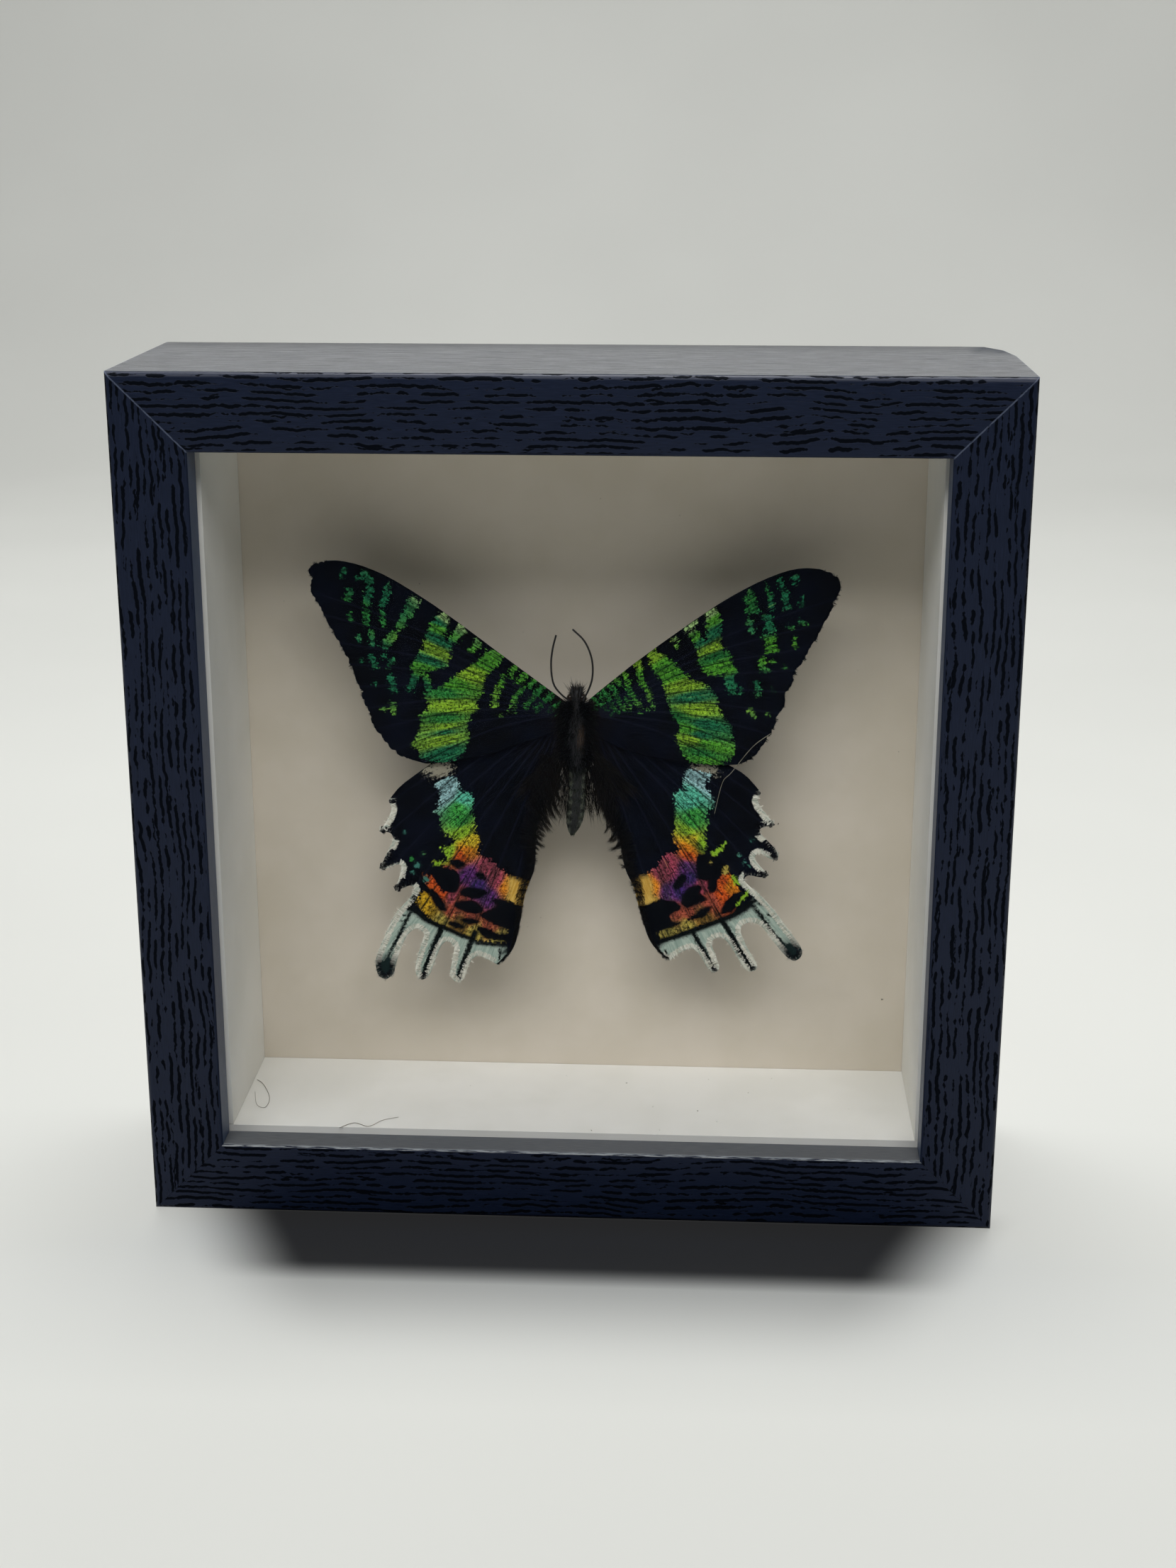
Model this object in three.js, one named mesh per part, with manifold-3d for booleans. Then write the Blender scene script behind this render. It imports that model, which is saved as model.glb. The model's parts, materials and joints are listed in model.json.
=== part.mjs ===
// A framed sunset moth: a deep square box frame, glazed, lined with white board and
// closed at the back, with a spread day-flying moth on a pin in front of a cream card.
// Millimetres. +X is to the viewer's right, +Y goes away from the viewer, +Z is up.
// The origin is under the middle of the frame, on the surface that it stands on.

import * as THREE from "three";
import { mergeVertices } from "three/addons/utils/BufferGeometryUtils.js";
import Module from "manifold-3d";

const wasm = await Module();
wasm.setup();

// The frame: its outside, the width of its face, and the depth of each layer in it
const side = 150;
const depth = 45;
const faceWidth = 13;
const lipDepth = 5.8;
const wallThickness = 10.2;
const outerRound = 1.0;
const innerRound = 0.4;
const rearRound = 0.4;
const mitreGap = 0.1;
const seat = 0.1;
const glassThickness = 1.7;
const linerThickness = 3.0;
const linerGap = 0.16;
const cardFront = 37.7;
const cardThickness = 1.0;
const backingThickness = 2.6;
const edgeGap = 0.3;

// Fixings at the back: bent steel tabs in slots, and a toothed hanger on two nails
const tab = { width: 7, thickness: 0.5, length: 11, inWall: 3, offset: 34 };
const hanger = {
  length: 44,
  height: 7,
  thickness: 0.8,
  teeth: 15,
  toothDepth: 1.2,
  webBelow: 0.9,
  earDrop: 2.4,
  earSlope: 1.4,
  earRun: 2,
  drop: 17,
};
const nail = {
  head: 1.9,
  headThickness: 0.7,
  crown: 0.75,
  crownHeight: 0.7,
  shank: 0.5,
  shankLength: 1.6,
  inset: 4,
  fromTop: 1.9,
};

// The moth: where its shoulders are, how far its wings stand behind the front face
const shoulderHeight = 88;
const wingThickness = 0.6;
const foreWingFront = 25;
const wingGap = 0.3;
const wingRise = 0.045;
const socketClearance = 0.3;
const pinRadius = 0.25;
const pinHeight = -5.2;
const pinTop = 27.6;
const pinInBacking = 1.5;
const antennaRadius = 0.17;
const palpRadius = { root: 0.42, tip: 0.12 };
const legRadius = { hip: 0.36, foot: 0.16 };

// How finely round things are made, and how far a cutter reaches past what it cuts
const boreSides = 12;
const nailSides = 14;
const hairSides = 8;
const legSides = 7;
const overcut = 1;

const front = -depth / 2;
const half = side / 2;
const glassFront = lipDepth + seat;
const linerFront = glassFront + glassThickness + seat;
const cardBack = cardFront + cardThickness;
const backingFront = cardBack + seat;
const backingBack = backingFront + backingThickness;
const panelSide = side - 2 * (wallThickness + edgeGap);
const hindWingFront = foreWingFront + wingThickness + wingGap;

// Each finish is one material
const finishes = {
  foil: { color: 0x161b28, roughness: 0.5, metalness: 0.0 },
  glass: { color: 0xe8f0ee, roughness: 0.03, metalness: 0.0 },
  board: { color: 0xd9d8d0, roughness: 0.8, metalness: 0.0 },
  card: { color: 0xcdc4ab, roughness: 0.9, metalness: 0.0 },
  hardboard: { color: 0x7a5a3c, roughness: 0.85, metalness: 0.0 },
  steel: { color: 0xa9abad, roughness: 0.35, metalness: 1.0 },
  scales: { color: 0x15172a, roughness: 0.7, metalness: 0.0 },
  hair: { color: 0x1d1a1a, roughness: 0.9, metalness: 0.0 },
};

const part = new THREE.Group();

function addPiece(name, geometry, finish) {
  const mesh = new THREE.Mesh(geometry, new THREE.MeshStandardMaterial(finishes[finish]));
  mesh.name = name;
  part.add(mesh);
  return mesh;
}

// A closed geometry as a solid that can be joined and cut
function toSolid(geometry) {
  const bare = geometry.clone();
  bare.deleteAttribute("normal");
  bare.deleteAttribute("uv");
  const merged = mergeVertices(bare, 1e-4);
  return new wasm.Manifold(
    new wasm.Mesh({
      numProp: 3,
      vertProperties: new Float32Array(merged.attributes.position.array),
      triVerts: new Uint32Array(merged.index.array),
    }),
  );
}

function toGeometry(solid) {
  const mesh = solid.getMesh();
  const geometry = new THREE.BufferGeometry();
  geometry.setAttribute("position", new THREE.BufferAttribute(mesh.vertProperties, 3));
  geometry.setIndex(new THREE.BufferAttribute(mesh.triVerts, 1));
  geometry.computeVertexNormals();
  return geometry;
}

function cut(geometry, cutters) {
  return toGeometry(cutters.reduce((solid, cutter) => solid.subtract(toSolid(cutter)), toSolid(geometry)));
}

// A box given by its size and the middle of it
function block(width, thickness, height, x, y, z) {
  return new THREE.BoxGeometry(width, thickness, height).translate(x, y, z);
}

// A cylinder along Y, from one depth to another
function rod(radius, x, z, fromY, toY, sides) {
  const length = toY - fromY;
  return new THREE.CylinderGeometry(radius, radius, length, sides).translate(x, fromY + length / 2, z);
}

// The rail's section: x is how far in from the outside, y how far back from the front
function railSection() {
  const quarter = Math.PI / 2;
  const section = new THREE.Shape();
  section.moveTo(0, outerRound);
  section.absarc(outerRound, outerRound, outerRound, 2 * quarter, 3 * quarter);
  section.absarc(faceWidth - innerRound, innerRound, innerRound, 3 * quarter, 4 * quarter);
  section.lineTo(faceWidth, lipDepth);
  section.lineTo(wallThickness, lipDepth);
  section.lineTo(wallThickness, depth);
  section.absarc(rearRound, depth - rearRound, rearRound, quarter, 2 * quarter);
  return section;
}

// One rail, lying along X below the middle of the frame, with both ends mitred
function railGeometry() {
  const geometry = new THREE.ExtrudeGeometry(railSection(), {
    depth: side,
    bevelEnabled: false,
    curveSegments: 5,
  });
  const position = geometry.attributes.position;
  for (let i = 0; i < position.count; i += 1) {
    const inward = position.getX(i);
    const back = position.getY(i);
    const end = Math.sign(half - position.getZ(i));
    position.setXYZ(i, end * (half - inward - mitreGap), front + back, inward - half);
  }
  const slots = [-1, 1].map((end) =>
    block(
      tab.width + 2 * edgeGap,
      tab.thickness + 2 * edgeGap,
      tab.inWall + edgeGap + overcut,
      end * tab.offset,
      front + backingBack + edgeGap + tab.thickness / 2,
      wallThickness + overcut - (tab.inWall + edgeGap + overcut) / 2 - half,
    ),
  );
  return cut(geometry, slots);
}

// Rails and tabs turn round the middle of the frame in quarter turns
function addRails() {
  ["bottom", "left", "top", "right"].forEach((place, turn) => {
    const rail = addPiece(`rail_${place}`, railGeometry(), "foil");
    rail.rotation.y = (turn * Math.PI) / 2;
    rail.position.z = half;
    [-1, 1].forEach((end) => {
      const strip = block(
        tab.width,
        tab.thickness,
        tab.length,
        end * tab.offset,
        front + backingBack + edgeGap + tab.thickness / 2,
        wallThickness - tab.inWall + tab.length / 2 - half,
      );
      const piece = addPiece(`tab_${place}_${end < 0 ? 1 : 2}`, strip, "steel");
      piece.rotation.y = (turn * Math.PI) / 2;
      piece.position.z = half;
    });
  });
}

function addGlass() {
  const y = front + glassFront + glassThickness / 2;
  addPiece("glass", block(panelSide, glassThickness, panelSide, 0, y, half), "glass");
}

// Four strips of white board line the box from the glass to the card
function addLiner() {
  const length = cardFront - seat - linerFront;
  const y = front + linerFront + length / 2;
  const reach = half - wallThickness - linerGap - linerThickness / 2;
  const inside = 2 * (reach - linerThickness / 2 - seat);
  const wide = panelSide;
  addPiece("liner_bottom", block(wide, length, linerThickness, 0, y, half - reach), "board");
  addPiece("liner_top", block(wide, length, linerThickness, 0, y, half + reach), "board");
  addPiece("liner_left", block(linerThickness, length, inside, -reach, y, half), "board");
  addPiece("liner_right", block(linerThickness, length, inside, reach, y, half), "board");
}

function pinBore(fromY, toY) {
  return rod(pinRadius + socketClearance, 0, shoulderHeight + pinHeight, fromY, toY, boreSides);
}

function addBack() {
  const cardY = front + cardFront + cardThickness / 2;
  const card = block(panelSide, cardThickness, panelSide, 0, cardY, half);
  const through = pinBore(front + cardFront - overcut, front + cardBack + overcut);
  addPiece("mount_card", cut(card, [through]), "card");
  const backY = front + backingFront + backingThickness / 2;
  const backing = block(panelSide, backingThickness, panelSide, 0, backY, half);
  const blindEnd = front + backingFront + pinInBacking + edgeGap;
  const blind = pinBore(front + backingFront - overcut, blindEnd);
  const rear = front + backingBack;
  const nailHoles = nailPlaces().map(([x, z]) =>
    rod(nail.shank + edgeGap, x, z, rear - nail.shankLength, rear + overcut, boreSides),
  );
  addPiece("backing_board", cut(backing, [blind, ...nailHoles]), "hardboard");
}

function hangerHeight() {
  return side - faceWidth - hanger.drop;
}

function nailPlaces() {
  const x = hanger.length / 2 - nail.inset;
  const z = hangerHeight() + hanger.height - nail.fromTop;
  return [
    [-x, z],
    [x, z],
  ];
}

// The toothed hanger: a stamped plate with a saw edge along the middle of its underside.
// The nails go through an ear at each end of it.
function addHanger() {
  const outline = new THREE.Shape();
  const shoulder = nail.inset * 2;
  const run = hanger.length - 2 * shoulder;
  const pitch = run / hanger.teeth;
  const earFoot = hanger.height - hanger.earDrop;
  outline.moveTo(0, earFoot);
  outline.lineTo(shoulder - hanger.earRun, earFoot - hanger.earSlope);
  outline.lineTo(shoulder, toothRoot());
  for (let i = 0; i < hanger.teeth; i += 1) {
    outline.lineTo(shoulder + (i + 0.5) * pitch, toothRoot() - hanger.toothDepth);
    outline.lineTo(shoulder + (i + 1) * pitch, toothRoot());
  }
  outline.lineTo(hanger.length - shoulder + hanger.earRun, earFoot - hanger.earSlope);
  outline.lineTo(hanger.length, earFoot);
  outline.lineTo(hanger.length, hanger.height);
  outline.lineTo(0, hanger.height);
  const plate = new THREE.ExtrudeGeometry(outline, { depth: hanger.thickness, bevelEnabled: false });
  plate.rotateX(Math.PI / 2);
  const backOfPlate = front + backingBack + seat + hanger.thickness;
  plate.translate(-hanger.length / 2, backOfPlate, hangerHeight());
  const holes = nailPlaces().map(([x, z]) =>
    rod(nail.shank + edgeGap, x, z, front + backingBack - overcut, backOfPlate + overcut, boreSides),
  );
  addPiece("hanger", cut(plate, holes), "steel");
  nailPlaces().forEach(([x, z], index) => addPiece(`nail_${index + 1}`, nailGeometry(x, z), "steel"));
}

function toothRoot() {
  return hanger.toothDepth + hanger.webBelow;
}

// A nail is turned about its own axis: a domed head on a short shank
function nailGeometry(x, z) {
  const underHead = nail.shankLength + hanger.thickness;
  const points = [
    [0, 0],
    [nail.shank, 0],
    [nail.shank, underHead],
    [nail.head, underHead],
    [nail.head * nail.crown, underHead + nail.headThickness * nail.crownHeight],
    [0, underHead + nail.headThickness],
  ].map(([radius, height]) => new THREE.Vector2(radius, height));
  const geometry = new THREE.LatheGeometry(points, nailSides);
  return geometry.translate(x, front + backingBack + 2 * seat + edgeGap - nail.shankLength, z);
}

// A wing is outlined by runs of points, in millimetres across and up from the moth's
// shoulders. A run of two points is straight, and a longer one is a smooth curve.
// Where two runs meet there is a corner: a wing tip, a scallop's point or a tail's end.
function wingShape(runs) {
  const shape = new THREE.Shape();
  shape.moveTo(...runs[0][0]);
  runs.forEach((run) => {
    const onward = run.slice(1).map(([x, z]) => new THREE.Vector2(x, z));
    if (onward.length === 1) {
      shape.lineTo(onward[0].x, onward[0].y);
    } else {
      shape.splineThru(onward);
    }
  });
  return shape;
}

// Locks of long hair along a margin: the points are the hair tips' envelope, from the
// wing's hind corner up to its root. Each lock stands out at its tip and falls back above.
function hairLocks(envelope, count, lockDepth, towardWing) {
  const curve = new THREE.SplineCurve(envelope.map(([x, z]) => new THREE.Vector2(x, z)));
  const locks = [];
  for (let i = 0; i < count; i += 1) {
    const tip = curve.getPointAt((i + 0.25) / count);
    const valley = curve.getPointAt((i + 1) / count);
    const swell = Math.sin((Math.PI * (i + 1)) / (count + 1));
    locks.push([tip.x, tip.y]);
    locks.push([valley.x + towardWing * lockDepth * swell, valley.y]);
  }
  return locks;
}

// A wing is a plate that stands upright and rises toward the glass at its tip
function wingGeometry(shape, wingFront) {
  const plate = new THREE.ExtrudeGeometry(shape, {
    depth: wingThickness,
    bevelEnabled: false,
    curveSegments: 2,
  });
  const position = plate.attributes.position;
  for (let i = 0; i < position.count; i += 1) {
    position.setZ(i, position.getZ(i) + wingRise * Math.abs(position.getX(i)));
  }
  plate.rotateX(Math.PI / 2);
  plate.translate(0, front + wingFront + wingThickness, shoulderHeight);
  return plate;
}

const foreWingLeft = [
  [[-2.2, 1.4], [-11.0, 8.0], [-23.3, 17.5], [-31.4, 22.9],
    [-35.8, 25.1], [-39.5, 26.3], [-43.1, 26.7], [-46.5, 25.8]],
  [[-46.5, 25.8], [-46.9, 24.9]],
  [[-46.9, 24.9], [-46.4, 23.2], [-46.6, 21.4],
    [-43.9, 15.8], [-41.1, 10.5], [-39.6, 6.6], [-38.2, 3.0]],
  [[-38.2, 3.0], [-37.9, 1.2], [-36.8, -0.9], [-36.4, -3.1],
    [-35.1, -5.1], [-31.9, -8.7], [-27.1, -10.4]],
  [[-27.1, -10.4], [-21.8, -9.9], [-14.4, -8.2], [-8.6, -6.0], [-2.2, -4.2]],
];

const foreWingRight = [
  [[2.2, 1.6], [10.8, 8.9], [23.2, 18.3], [29.3, 22.2],
    [33.8, 24.5], [37.7, 25.9], [41.3, 26.2], [44.4, 25.4]],
  [[44.4, 25.4], [45.8, 24.2], [45.7, 21.6], [43.2, 16.0], [40.0, 9.8], [38.5, 7.2]],
  [[38.5, 7.2], [38.1, 5.3], [36.9, 3.4], [36.9, 1.5],
    [35.6, -0.5], [35.1, -2.9], [32.4, -7.1], [31.2, -8.5]],
  [[31.2, -8.5], [28.0, -9.8], [20.2, -9.6], [11.7, -8.4], [6.0, -6.4], [2.2, -4.5]],
];

const hindWingLeft = [
  [[-2.2, -3.6], [-8.0, -3.2], [-16.0, -5.0], [-23.0, -8.4],
    [-28.0, -11.9], [-31.9, -14.9], [-34.1, -17.7]],
  [[-34.1, -17.7], [-33.6, -19.4], [-34.8, -22.0], [-36.0, -23.5]],
  [[-36.0, -23.5], [-34.0, -23.7], [-33.4, -25.0], [-34.5, -27.4], [-36.1, -30.7]],
  [[-36.1, -30.7], [-34.5, -30.6], [-32.6, -29.8], [-32.1, -30.9], [-33.4, -35.0]],
  [[-33.4, -35.0], [-31.6, -34.3], [-30.4, -33.9], [-29.8, -34.8], [-30.8, -36.6]],
  [[-30.8, -36.6], [-33.5, -39.7], [-36.0, -45.1],
    [-37.1, -47.9], [-37.3, -49.8], [-36.8, -51.8], [-35.4, -52.5]],
  [[-35.4, -52.5], [-34.0, -51.3], [-33.6, -49.6],
    [-32.3, -45.7], [-31.1, -43.4], [-29.4, -42.3], [-28.1, -43.4]],
  [[-28.1, -43.4], [-29.5, -47.9], [-30.0, -50.4],
    [-29.6, -52.1], [-28.7, -52.6], [-27.4, -51.6], [-26.3, -48.8]],
  [[-26.3, -48.8], [-25.1, -45.8], [-23.8, -44.9], [-22.6, -46.0]],
  [[-22.6, -46.0], [-23.3, -49.6], [-23.5, -51.8],
    [-22.2, -53.0], [-21.0, -52.2], [-19.7, -48.7], [-18.2, -47.6]],
  [[-18.2, -47.6], [-16.1, -48.7], [-14.6, -49.6]],
  [[-14.6, -49.6], [-12.7, -47.7], [-11.0, -43.8], [-10.0, -38.2], [-9.5, -35.6], [-8.7, -33.2]],
  [[-8.7, -33.2], ...hairLocks([[-8.7, -33.2], [-6.6, -27.3],
    [-3.6, -20.4], [-2.7, -15.8], [-3.0, -10.6]], 13, 1.6, -1)],
  [[-3.0, -10.6], [-2.2, -9.4]],
];

const hindWingRight = [
  [[2.2, -3.9], [8.0, -3.4], [16.0, -4.8], [22.5, -7.6], [27.0, -9.9], [30.4, -11.9], [33.2, -15.0]],
  [[33.2, -15.0], [32.6, -16.4], [33.4, -18.1], [35.9, -21.1]],
  [[35.9, -21.1], [33.6, -21.5], [33.1, -22.5], [34.9, -24.4], [36.5, -26.2], [36.4, -27.8]],
  [[36.4, -27.8], [34.7, -27.3], [33.1, -26.5], [32.3, -27.5], [33.5, -29.2], [35.0, -30.7]],
  [[35.0, -30.7], [33.4, -31.1], [31.3, -30.7], [30.5, -31.8], [32.4, -33.6]],
  [[32.4, -33.6], [35.2, -36.3], [38.5, -40.7],
    [41.0, -44.2], [41.3, -46.0], [40.0, -47.2], [38.4, -46.3]],
  [[38.4, -46.3], [35.6, -42.9], [34.0, -40.7], [32.2, -39.9], [30.3, -40.5], [30.1, -42.0]],
  [[30.1, -42.0], [31.3, -44.8], [33.1, -47.9],
    [33.0, -49.1], [31.8, -49.5], [30.8, -48.9], [29.2, -46.1]],
  [[29.2, -46.1], [27.5, -43.6], [26.1, -43.0], [24.9, -43.8], [24.9, -45.0]],
  [[24.9, -45.0], [25.8, -47.4], [26.3, -49.2],
    [25.3, -50.0], [24.2, -49.2], [22.7, -46.6], [21.2, -45.3]],
  [[21.2, -45.3], [19.4, -46.0], [17.3, -47.8]],
  [[17.3, -47.8], [16.2, -47.8], [14.6, -45.8], [12.7, -42.2], [11.3, -37.8], [10.4, -33.9]],
  [[10.4, -33.9], ...hairLocks([[10.4, -33.9], [7.9, -28.8],
    [5.4, -23.5], [3.2, -18.0], [2.7, -10.6]], 13, 1.6, 1)],
  [[2.7, -10.6], [2.2, -9.6]],
];

function addWings() {
  addPiece("forewing_left", wingGeometry(wingShape(foreWingLeft), foreWingFront), "scales");
  addPiece("forewing_right", wingGeometry(wingShape(foreWingRight), foreWingFront), "scales");
  addPiece("hindwing_left", wingGeometry(wingShape(hindWingLeft), hindWingFront), "scales");
  addPiece("hindwing_right", wingGeometry(wingShape(hindWingRight), hindWingFront), "scales");
}

// A closed skin over rings of points, with a point in the middle of each end
function skin(rings, startPoint, endPoint) {
  const sides = rings[0].length;
  const vertices = [startPoint, ...rings.flat(), endPoint];
  const faces = [];
  const last = vertices.length - 1;
  for (let j = 0; j < sides; j += 1) {
    const next = (j + 1) % sides;
    faces.push(0, 1 + next, 1 + j);
    for (let i = 0; i < rings.length - 1; i += 1) {
      const a = 1 + i * sides;
      const b = a + sides;
      faces.push(a + j, a + next, b + next, a + j, b + next, b + j);
    }
    const top = last - sides;
    faces.push(top + j, top + next, last);
  }
  const geometry = new THREE.BufferGeometry();
  geometry.setAttribute("position", new THREE.Float32BufferAttribute(vertices.flat(), 3));
  geometry.setIndex(faces);
  geometry.computeVertexNormals();
  return geometry;
}

// The body from its tip up to its forehead. Each ring: height below the shoulders,
// sideways place, depth behind the front face, half width and half depth.
const bodyRings = [
  [-24.6, -0.95, 27.6, 0.25, 0.25],
  [-23.8, -0.85, 27.5, 0.8, 0.75],
  [-22.4, -0.6, 27.4, 1.35, 1.25],
  [-20.4, -0.35, 27.3, 1.7, 1.6],
  [-17.6, -0.05, 27.2, 1.7, 1.7],
  [-15.0, 0.1, 27.1, 1.65, 1.75],
  [-12.8, 0.2, 27.0, 1.7, 1.8],
  [-11.4, 0.15, 26.9, 1.95, 2.1],
  [-10.0, 0.1, 26.8, 2.5, 2.6],
  [-8.2, 0.1, 26.7, 3.0, 3.0],
  [-6.2, 0.1, 26.6, 3.3, 3.2],
  [-4.2, 0.15, 26.5, 3.3, 3.2],
  [-2.4, 0.15, 26.4, 2.9, 2.9],
  [-1.0, 0.15, 26.3, 2.2, 2.3],
  [0.1, 0.1, 26.2, 1.35, 1.6],
  [0.7, 0.05, 26.2, 1.2, 1.35],
  [1.5, 0.0, 26.2, 1.35, 1.5],
  [2.4, 0.0, 26.2, 1.25, 1.4],
  [3.1, 0.0, 26.2, 0.9, 1.0],
  [3.5, 0.0, 26.2, 0.35, 0.4],
];
const bodySides = 20;
const eyeRadius = 0.8;
const eyeBack = 26.0;
const eyePlaces = [[-1.0, 1.7], [1.0, 1.7]];
const pinBoreEnd = 32;

// The slots in the thorax: how far from the middle they start and end, and where the
// lean of the wing is taken
const socketFrom = 1.7;
const socketTo = 5;
const leanAt = 2.6;

function bodyGeometry() {
  const rings = bodyRings.map(([up, across, back, width, thickness]) =>
    Array.from({ length: bodySides }, (_, j) => {
      const angle = (2 * Math.PI * j) / bodySides;
      return [
        across + width * Math.cos(angle),
        front + back + thickness * Math.sin(angle),
        shoulderHeight + up,
      ];
    }),
  );
  const middle = (ring, beyond) => [ring[1], front + ring[2], shoulderHeight + ring[0] + beyond];
  const lower = middle(bodyRings[0], -0.2);
  const upper = middle(bodyRings[bodyRings.length - 1], 0.1);
  let solid = toSolid(skin(rings, lower, upper));
  eyePlaces.forEach(([x, up]) => {
    const eye = new THREE.SphereGeometry(eyeRadius, 14, 10);
    solid = solid.add(toSolid(eye.translate(x, front + eyeBack, shoulderHeight + up)));
  });
  [-1, 1].forEach((hand) => {
    const route = place([[hand * 0.5, 25.3, 1.8], [hand * 0.75, 24.9, 3.1], [hand * 0.8, 25.0, 4.2]]);
    const palp = taperedTube(route, palpRadius.root, palpRadius.tip, 5, hairSides);
    solid = solid.add(toSolid(palp));
  });
  const sockets = [-1, 1].flatMap((hand) => [
    socket(hand, foreWingFront, -6.0, 1.9),
    socket(hand, hindWingFront, -11.4, -3.2),
  ]);
  const bore = pinBore(front + pinTop - edgeGap, front + pinBoreEnd);
  return toGeometry([...sockets, bore].reduce((body, cutter) => body.subtract(toSolid(cutter)), solid));
}

// The slot in the thorax that takes a wing's root, from its lower to its upper edge
function socket(hand, wingFront, from, to) {
  return block(
    socketTo - socketFrom,
    wingThickness + 2 * socketClearance,
    to - from,
    (hand * (socketFrom + socketTo)) / 2,
    front + wingFront + wingThickness / 2 - wingRise * leanAt,
    shoulderHeight + (from + to) / 2,
  );
}

// A round tube along a smooth line through the points, thinning from root to tip
function taperedTube(points, rootRadius, tipRadius, steps, sides) {
  const curve = new THREE.CatmullRomCurve3(points.map((p) => new THREE.Vector3(...p)));
  const frames = curve.computeFrenetFrames(steps, false);
  const rings = [];
  for (let i = 0; i <= steps; i += 1) {
    const centre = curve.getPointAt(i / steps);
    const radius = rootRadius + ((tipRadius - rootRadius) * i) / steps;
    rings.push(
      Array.from({ length: sides }, (_, j) => {
        const angle = (2 * Math.PI * j) / sides;
        return centre
          .clone()
          .addScaledVector(frames.normals[i], radius * Math.cos(angle))
          .addScaledVector(frames.binormals[i], radius * Math.sin(angle))
          .toArray();
      }),
    );
  }
  return skin(rings, curve.getPointAt(0).toArray(), curve.getPointAt(1).toArray());
}

// Points given as across, behind the front face, and above the shoulders
function place(points) {
  return points.map(([x, back, up]) => [x, front + back, shoulderHeight + up]);
}

const antennaLeft = [
  [-1.15, 24.6, 1.5],
  [-2.5, 24.1, 2.7],
  [-3.9, 23.9, 4.6],
  [-4.4, 23.9, 8.0],
  [-4.1, 24.0, 11.2],
  [-3.5, 24.1, 13.6],
];
const antennaRight = [
  [1.1, 24.6, 1.6],
  [2.1, 24.2, 3.4],
  [2.9, 23.9, 6.0],
  [2.8, 23.9, 9.4],
  [1.5, 24.0, 12.6],
  [-0.6, 24.1, 14.7],
];

function addAntennae() {
  const routes = { antenna_left: antennaLeft, antenna_right: antennaRight };
  Object.entries(routes).forEach(([name, route]) => {
    const antenna = taperedTube(place(route), antennaRadius, antennaRadius, 20, hairSides);
    addPiece(name, antenna, "hair");
  });
}

// Six legs folded under the thorax, each from hip to knee, back to the heel, and the foot
function addLegs() {
  const pairs = {
    front: { hip: -2.4, foot: 0.2 },
    middle: { hip: -4.4, foot: -4.6 },
    hind: { hip: -7.4, foot: -6.2 },
  };
  Object.entries(pairs).forEach(([name, { hip, foot }]) => {
    [-1, 1].forEach((hand) => {
      const route = place([
        [hand * 1.1, 30.2, hip],
        [hand * 3.0, 31.0, hip - 0.6 + foot * 0.2],
        [hand * 3.5, 31.6, hip - 1.4 + foot * 0.35],
        [hand * 2.5, 32.4, hip - 3.4 + foot * 0.5],
        [hand * 1.7, 33.0, hip - 6.6 + foot * 0.6],
      ]);
      const leg = taperedTube(route, legRadius.hip, legRadius.foot, 16, legSides);
      addPiece(`leg_${name}_${hand < 0 ? "left" : "right"}`, leg, "hair");
    });
  });
}

function addPin() {
  const end = front + backingFront + pinInBacking;
  addPiece("pin", rod(pinRadius, 0, shoulderHeight + pinHeight, front + pinTop, end, boreSides), "steel");
}

addRails();
addGlass();
addLiner();
addBack();
addHanger();
addPiece("body", bodyGeometry(), "hair");
addWings();
addAntennae();
addLegs();
addPin();

export default part;
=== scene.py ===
import json
import math

import bmesh
import bpy
import numpy as np
from mathutils import Matrix, Vector, geometry

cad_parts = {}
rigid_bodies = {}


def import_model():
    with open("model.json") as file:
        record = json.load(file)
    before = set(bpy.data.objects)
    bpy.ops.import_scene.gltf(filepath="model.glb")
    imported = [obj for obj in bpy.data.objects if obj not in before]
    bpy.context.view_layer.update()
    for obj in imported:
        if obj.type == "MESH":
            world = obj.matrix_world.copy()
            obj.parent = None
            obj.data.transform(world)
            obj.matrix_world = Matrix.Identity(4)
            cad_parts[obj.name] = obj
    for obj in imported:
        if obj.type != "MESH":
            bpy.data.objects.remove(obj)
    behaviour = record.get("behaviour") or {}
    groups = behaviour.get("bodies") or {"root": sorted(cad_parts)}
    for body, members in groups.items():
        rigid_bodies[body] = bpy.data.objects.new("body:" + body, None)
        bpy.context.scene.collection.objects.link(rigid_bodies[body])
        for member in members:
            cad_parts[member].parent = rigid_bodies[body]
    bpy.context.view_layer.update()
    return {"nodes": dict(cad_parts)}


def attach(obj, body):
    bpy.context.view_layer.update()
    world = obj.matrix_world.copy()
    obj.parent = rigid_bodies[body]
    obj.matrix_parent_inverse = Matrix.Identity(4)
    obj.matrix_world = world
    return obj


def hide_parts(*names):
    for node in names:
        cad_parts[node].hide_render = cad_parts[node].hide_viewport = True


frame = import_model()
chance = np.random.default_rng(41)
mm = 0.001

# The camera stands where the photograph was taken from
cameraSettings = {
    "place": (0.02307, -0.38430, 0.19337),
    "turn": (72.870, 0.0, 3.106),  # degrees
    "lens": 51.69,
}

cameraData = bpy.data.cameras.new("camera")
camera = bpy.data.objects.new("camera", cameraData)
bpy.context.scene.collection.objects.link(camera)
bpy.context.scene.camera = camera
camera.location = cameraSettings["place"]
camera.rotation_euler = [math.radians(angle) for angle in cameraSettings["turn"]]
cameraData.lens = cameraSettings["lens"]
cameraData.sensor_width = 36
cameraData.clip_start = 0.01
bpy.context.scene.view_settings.view_transform = "Standard"
print("camera placed")


# Small helpers for materials

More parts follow.
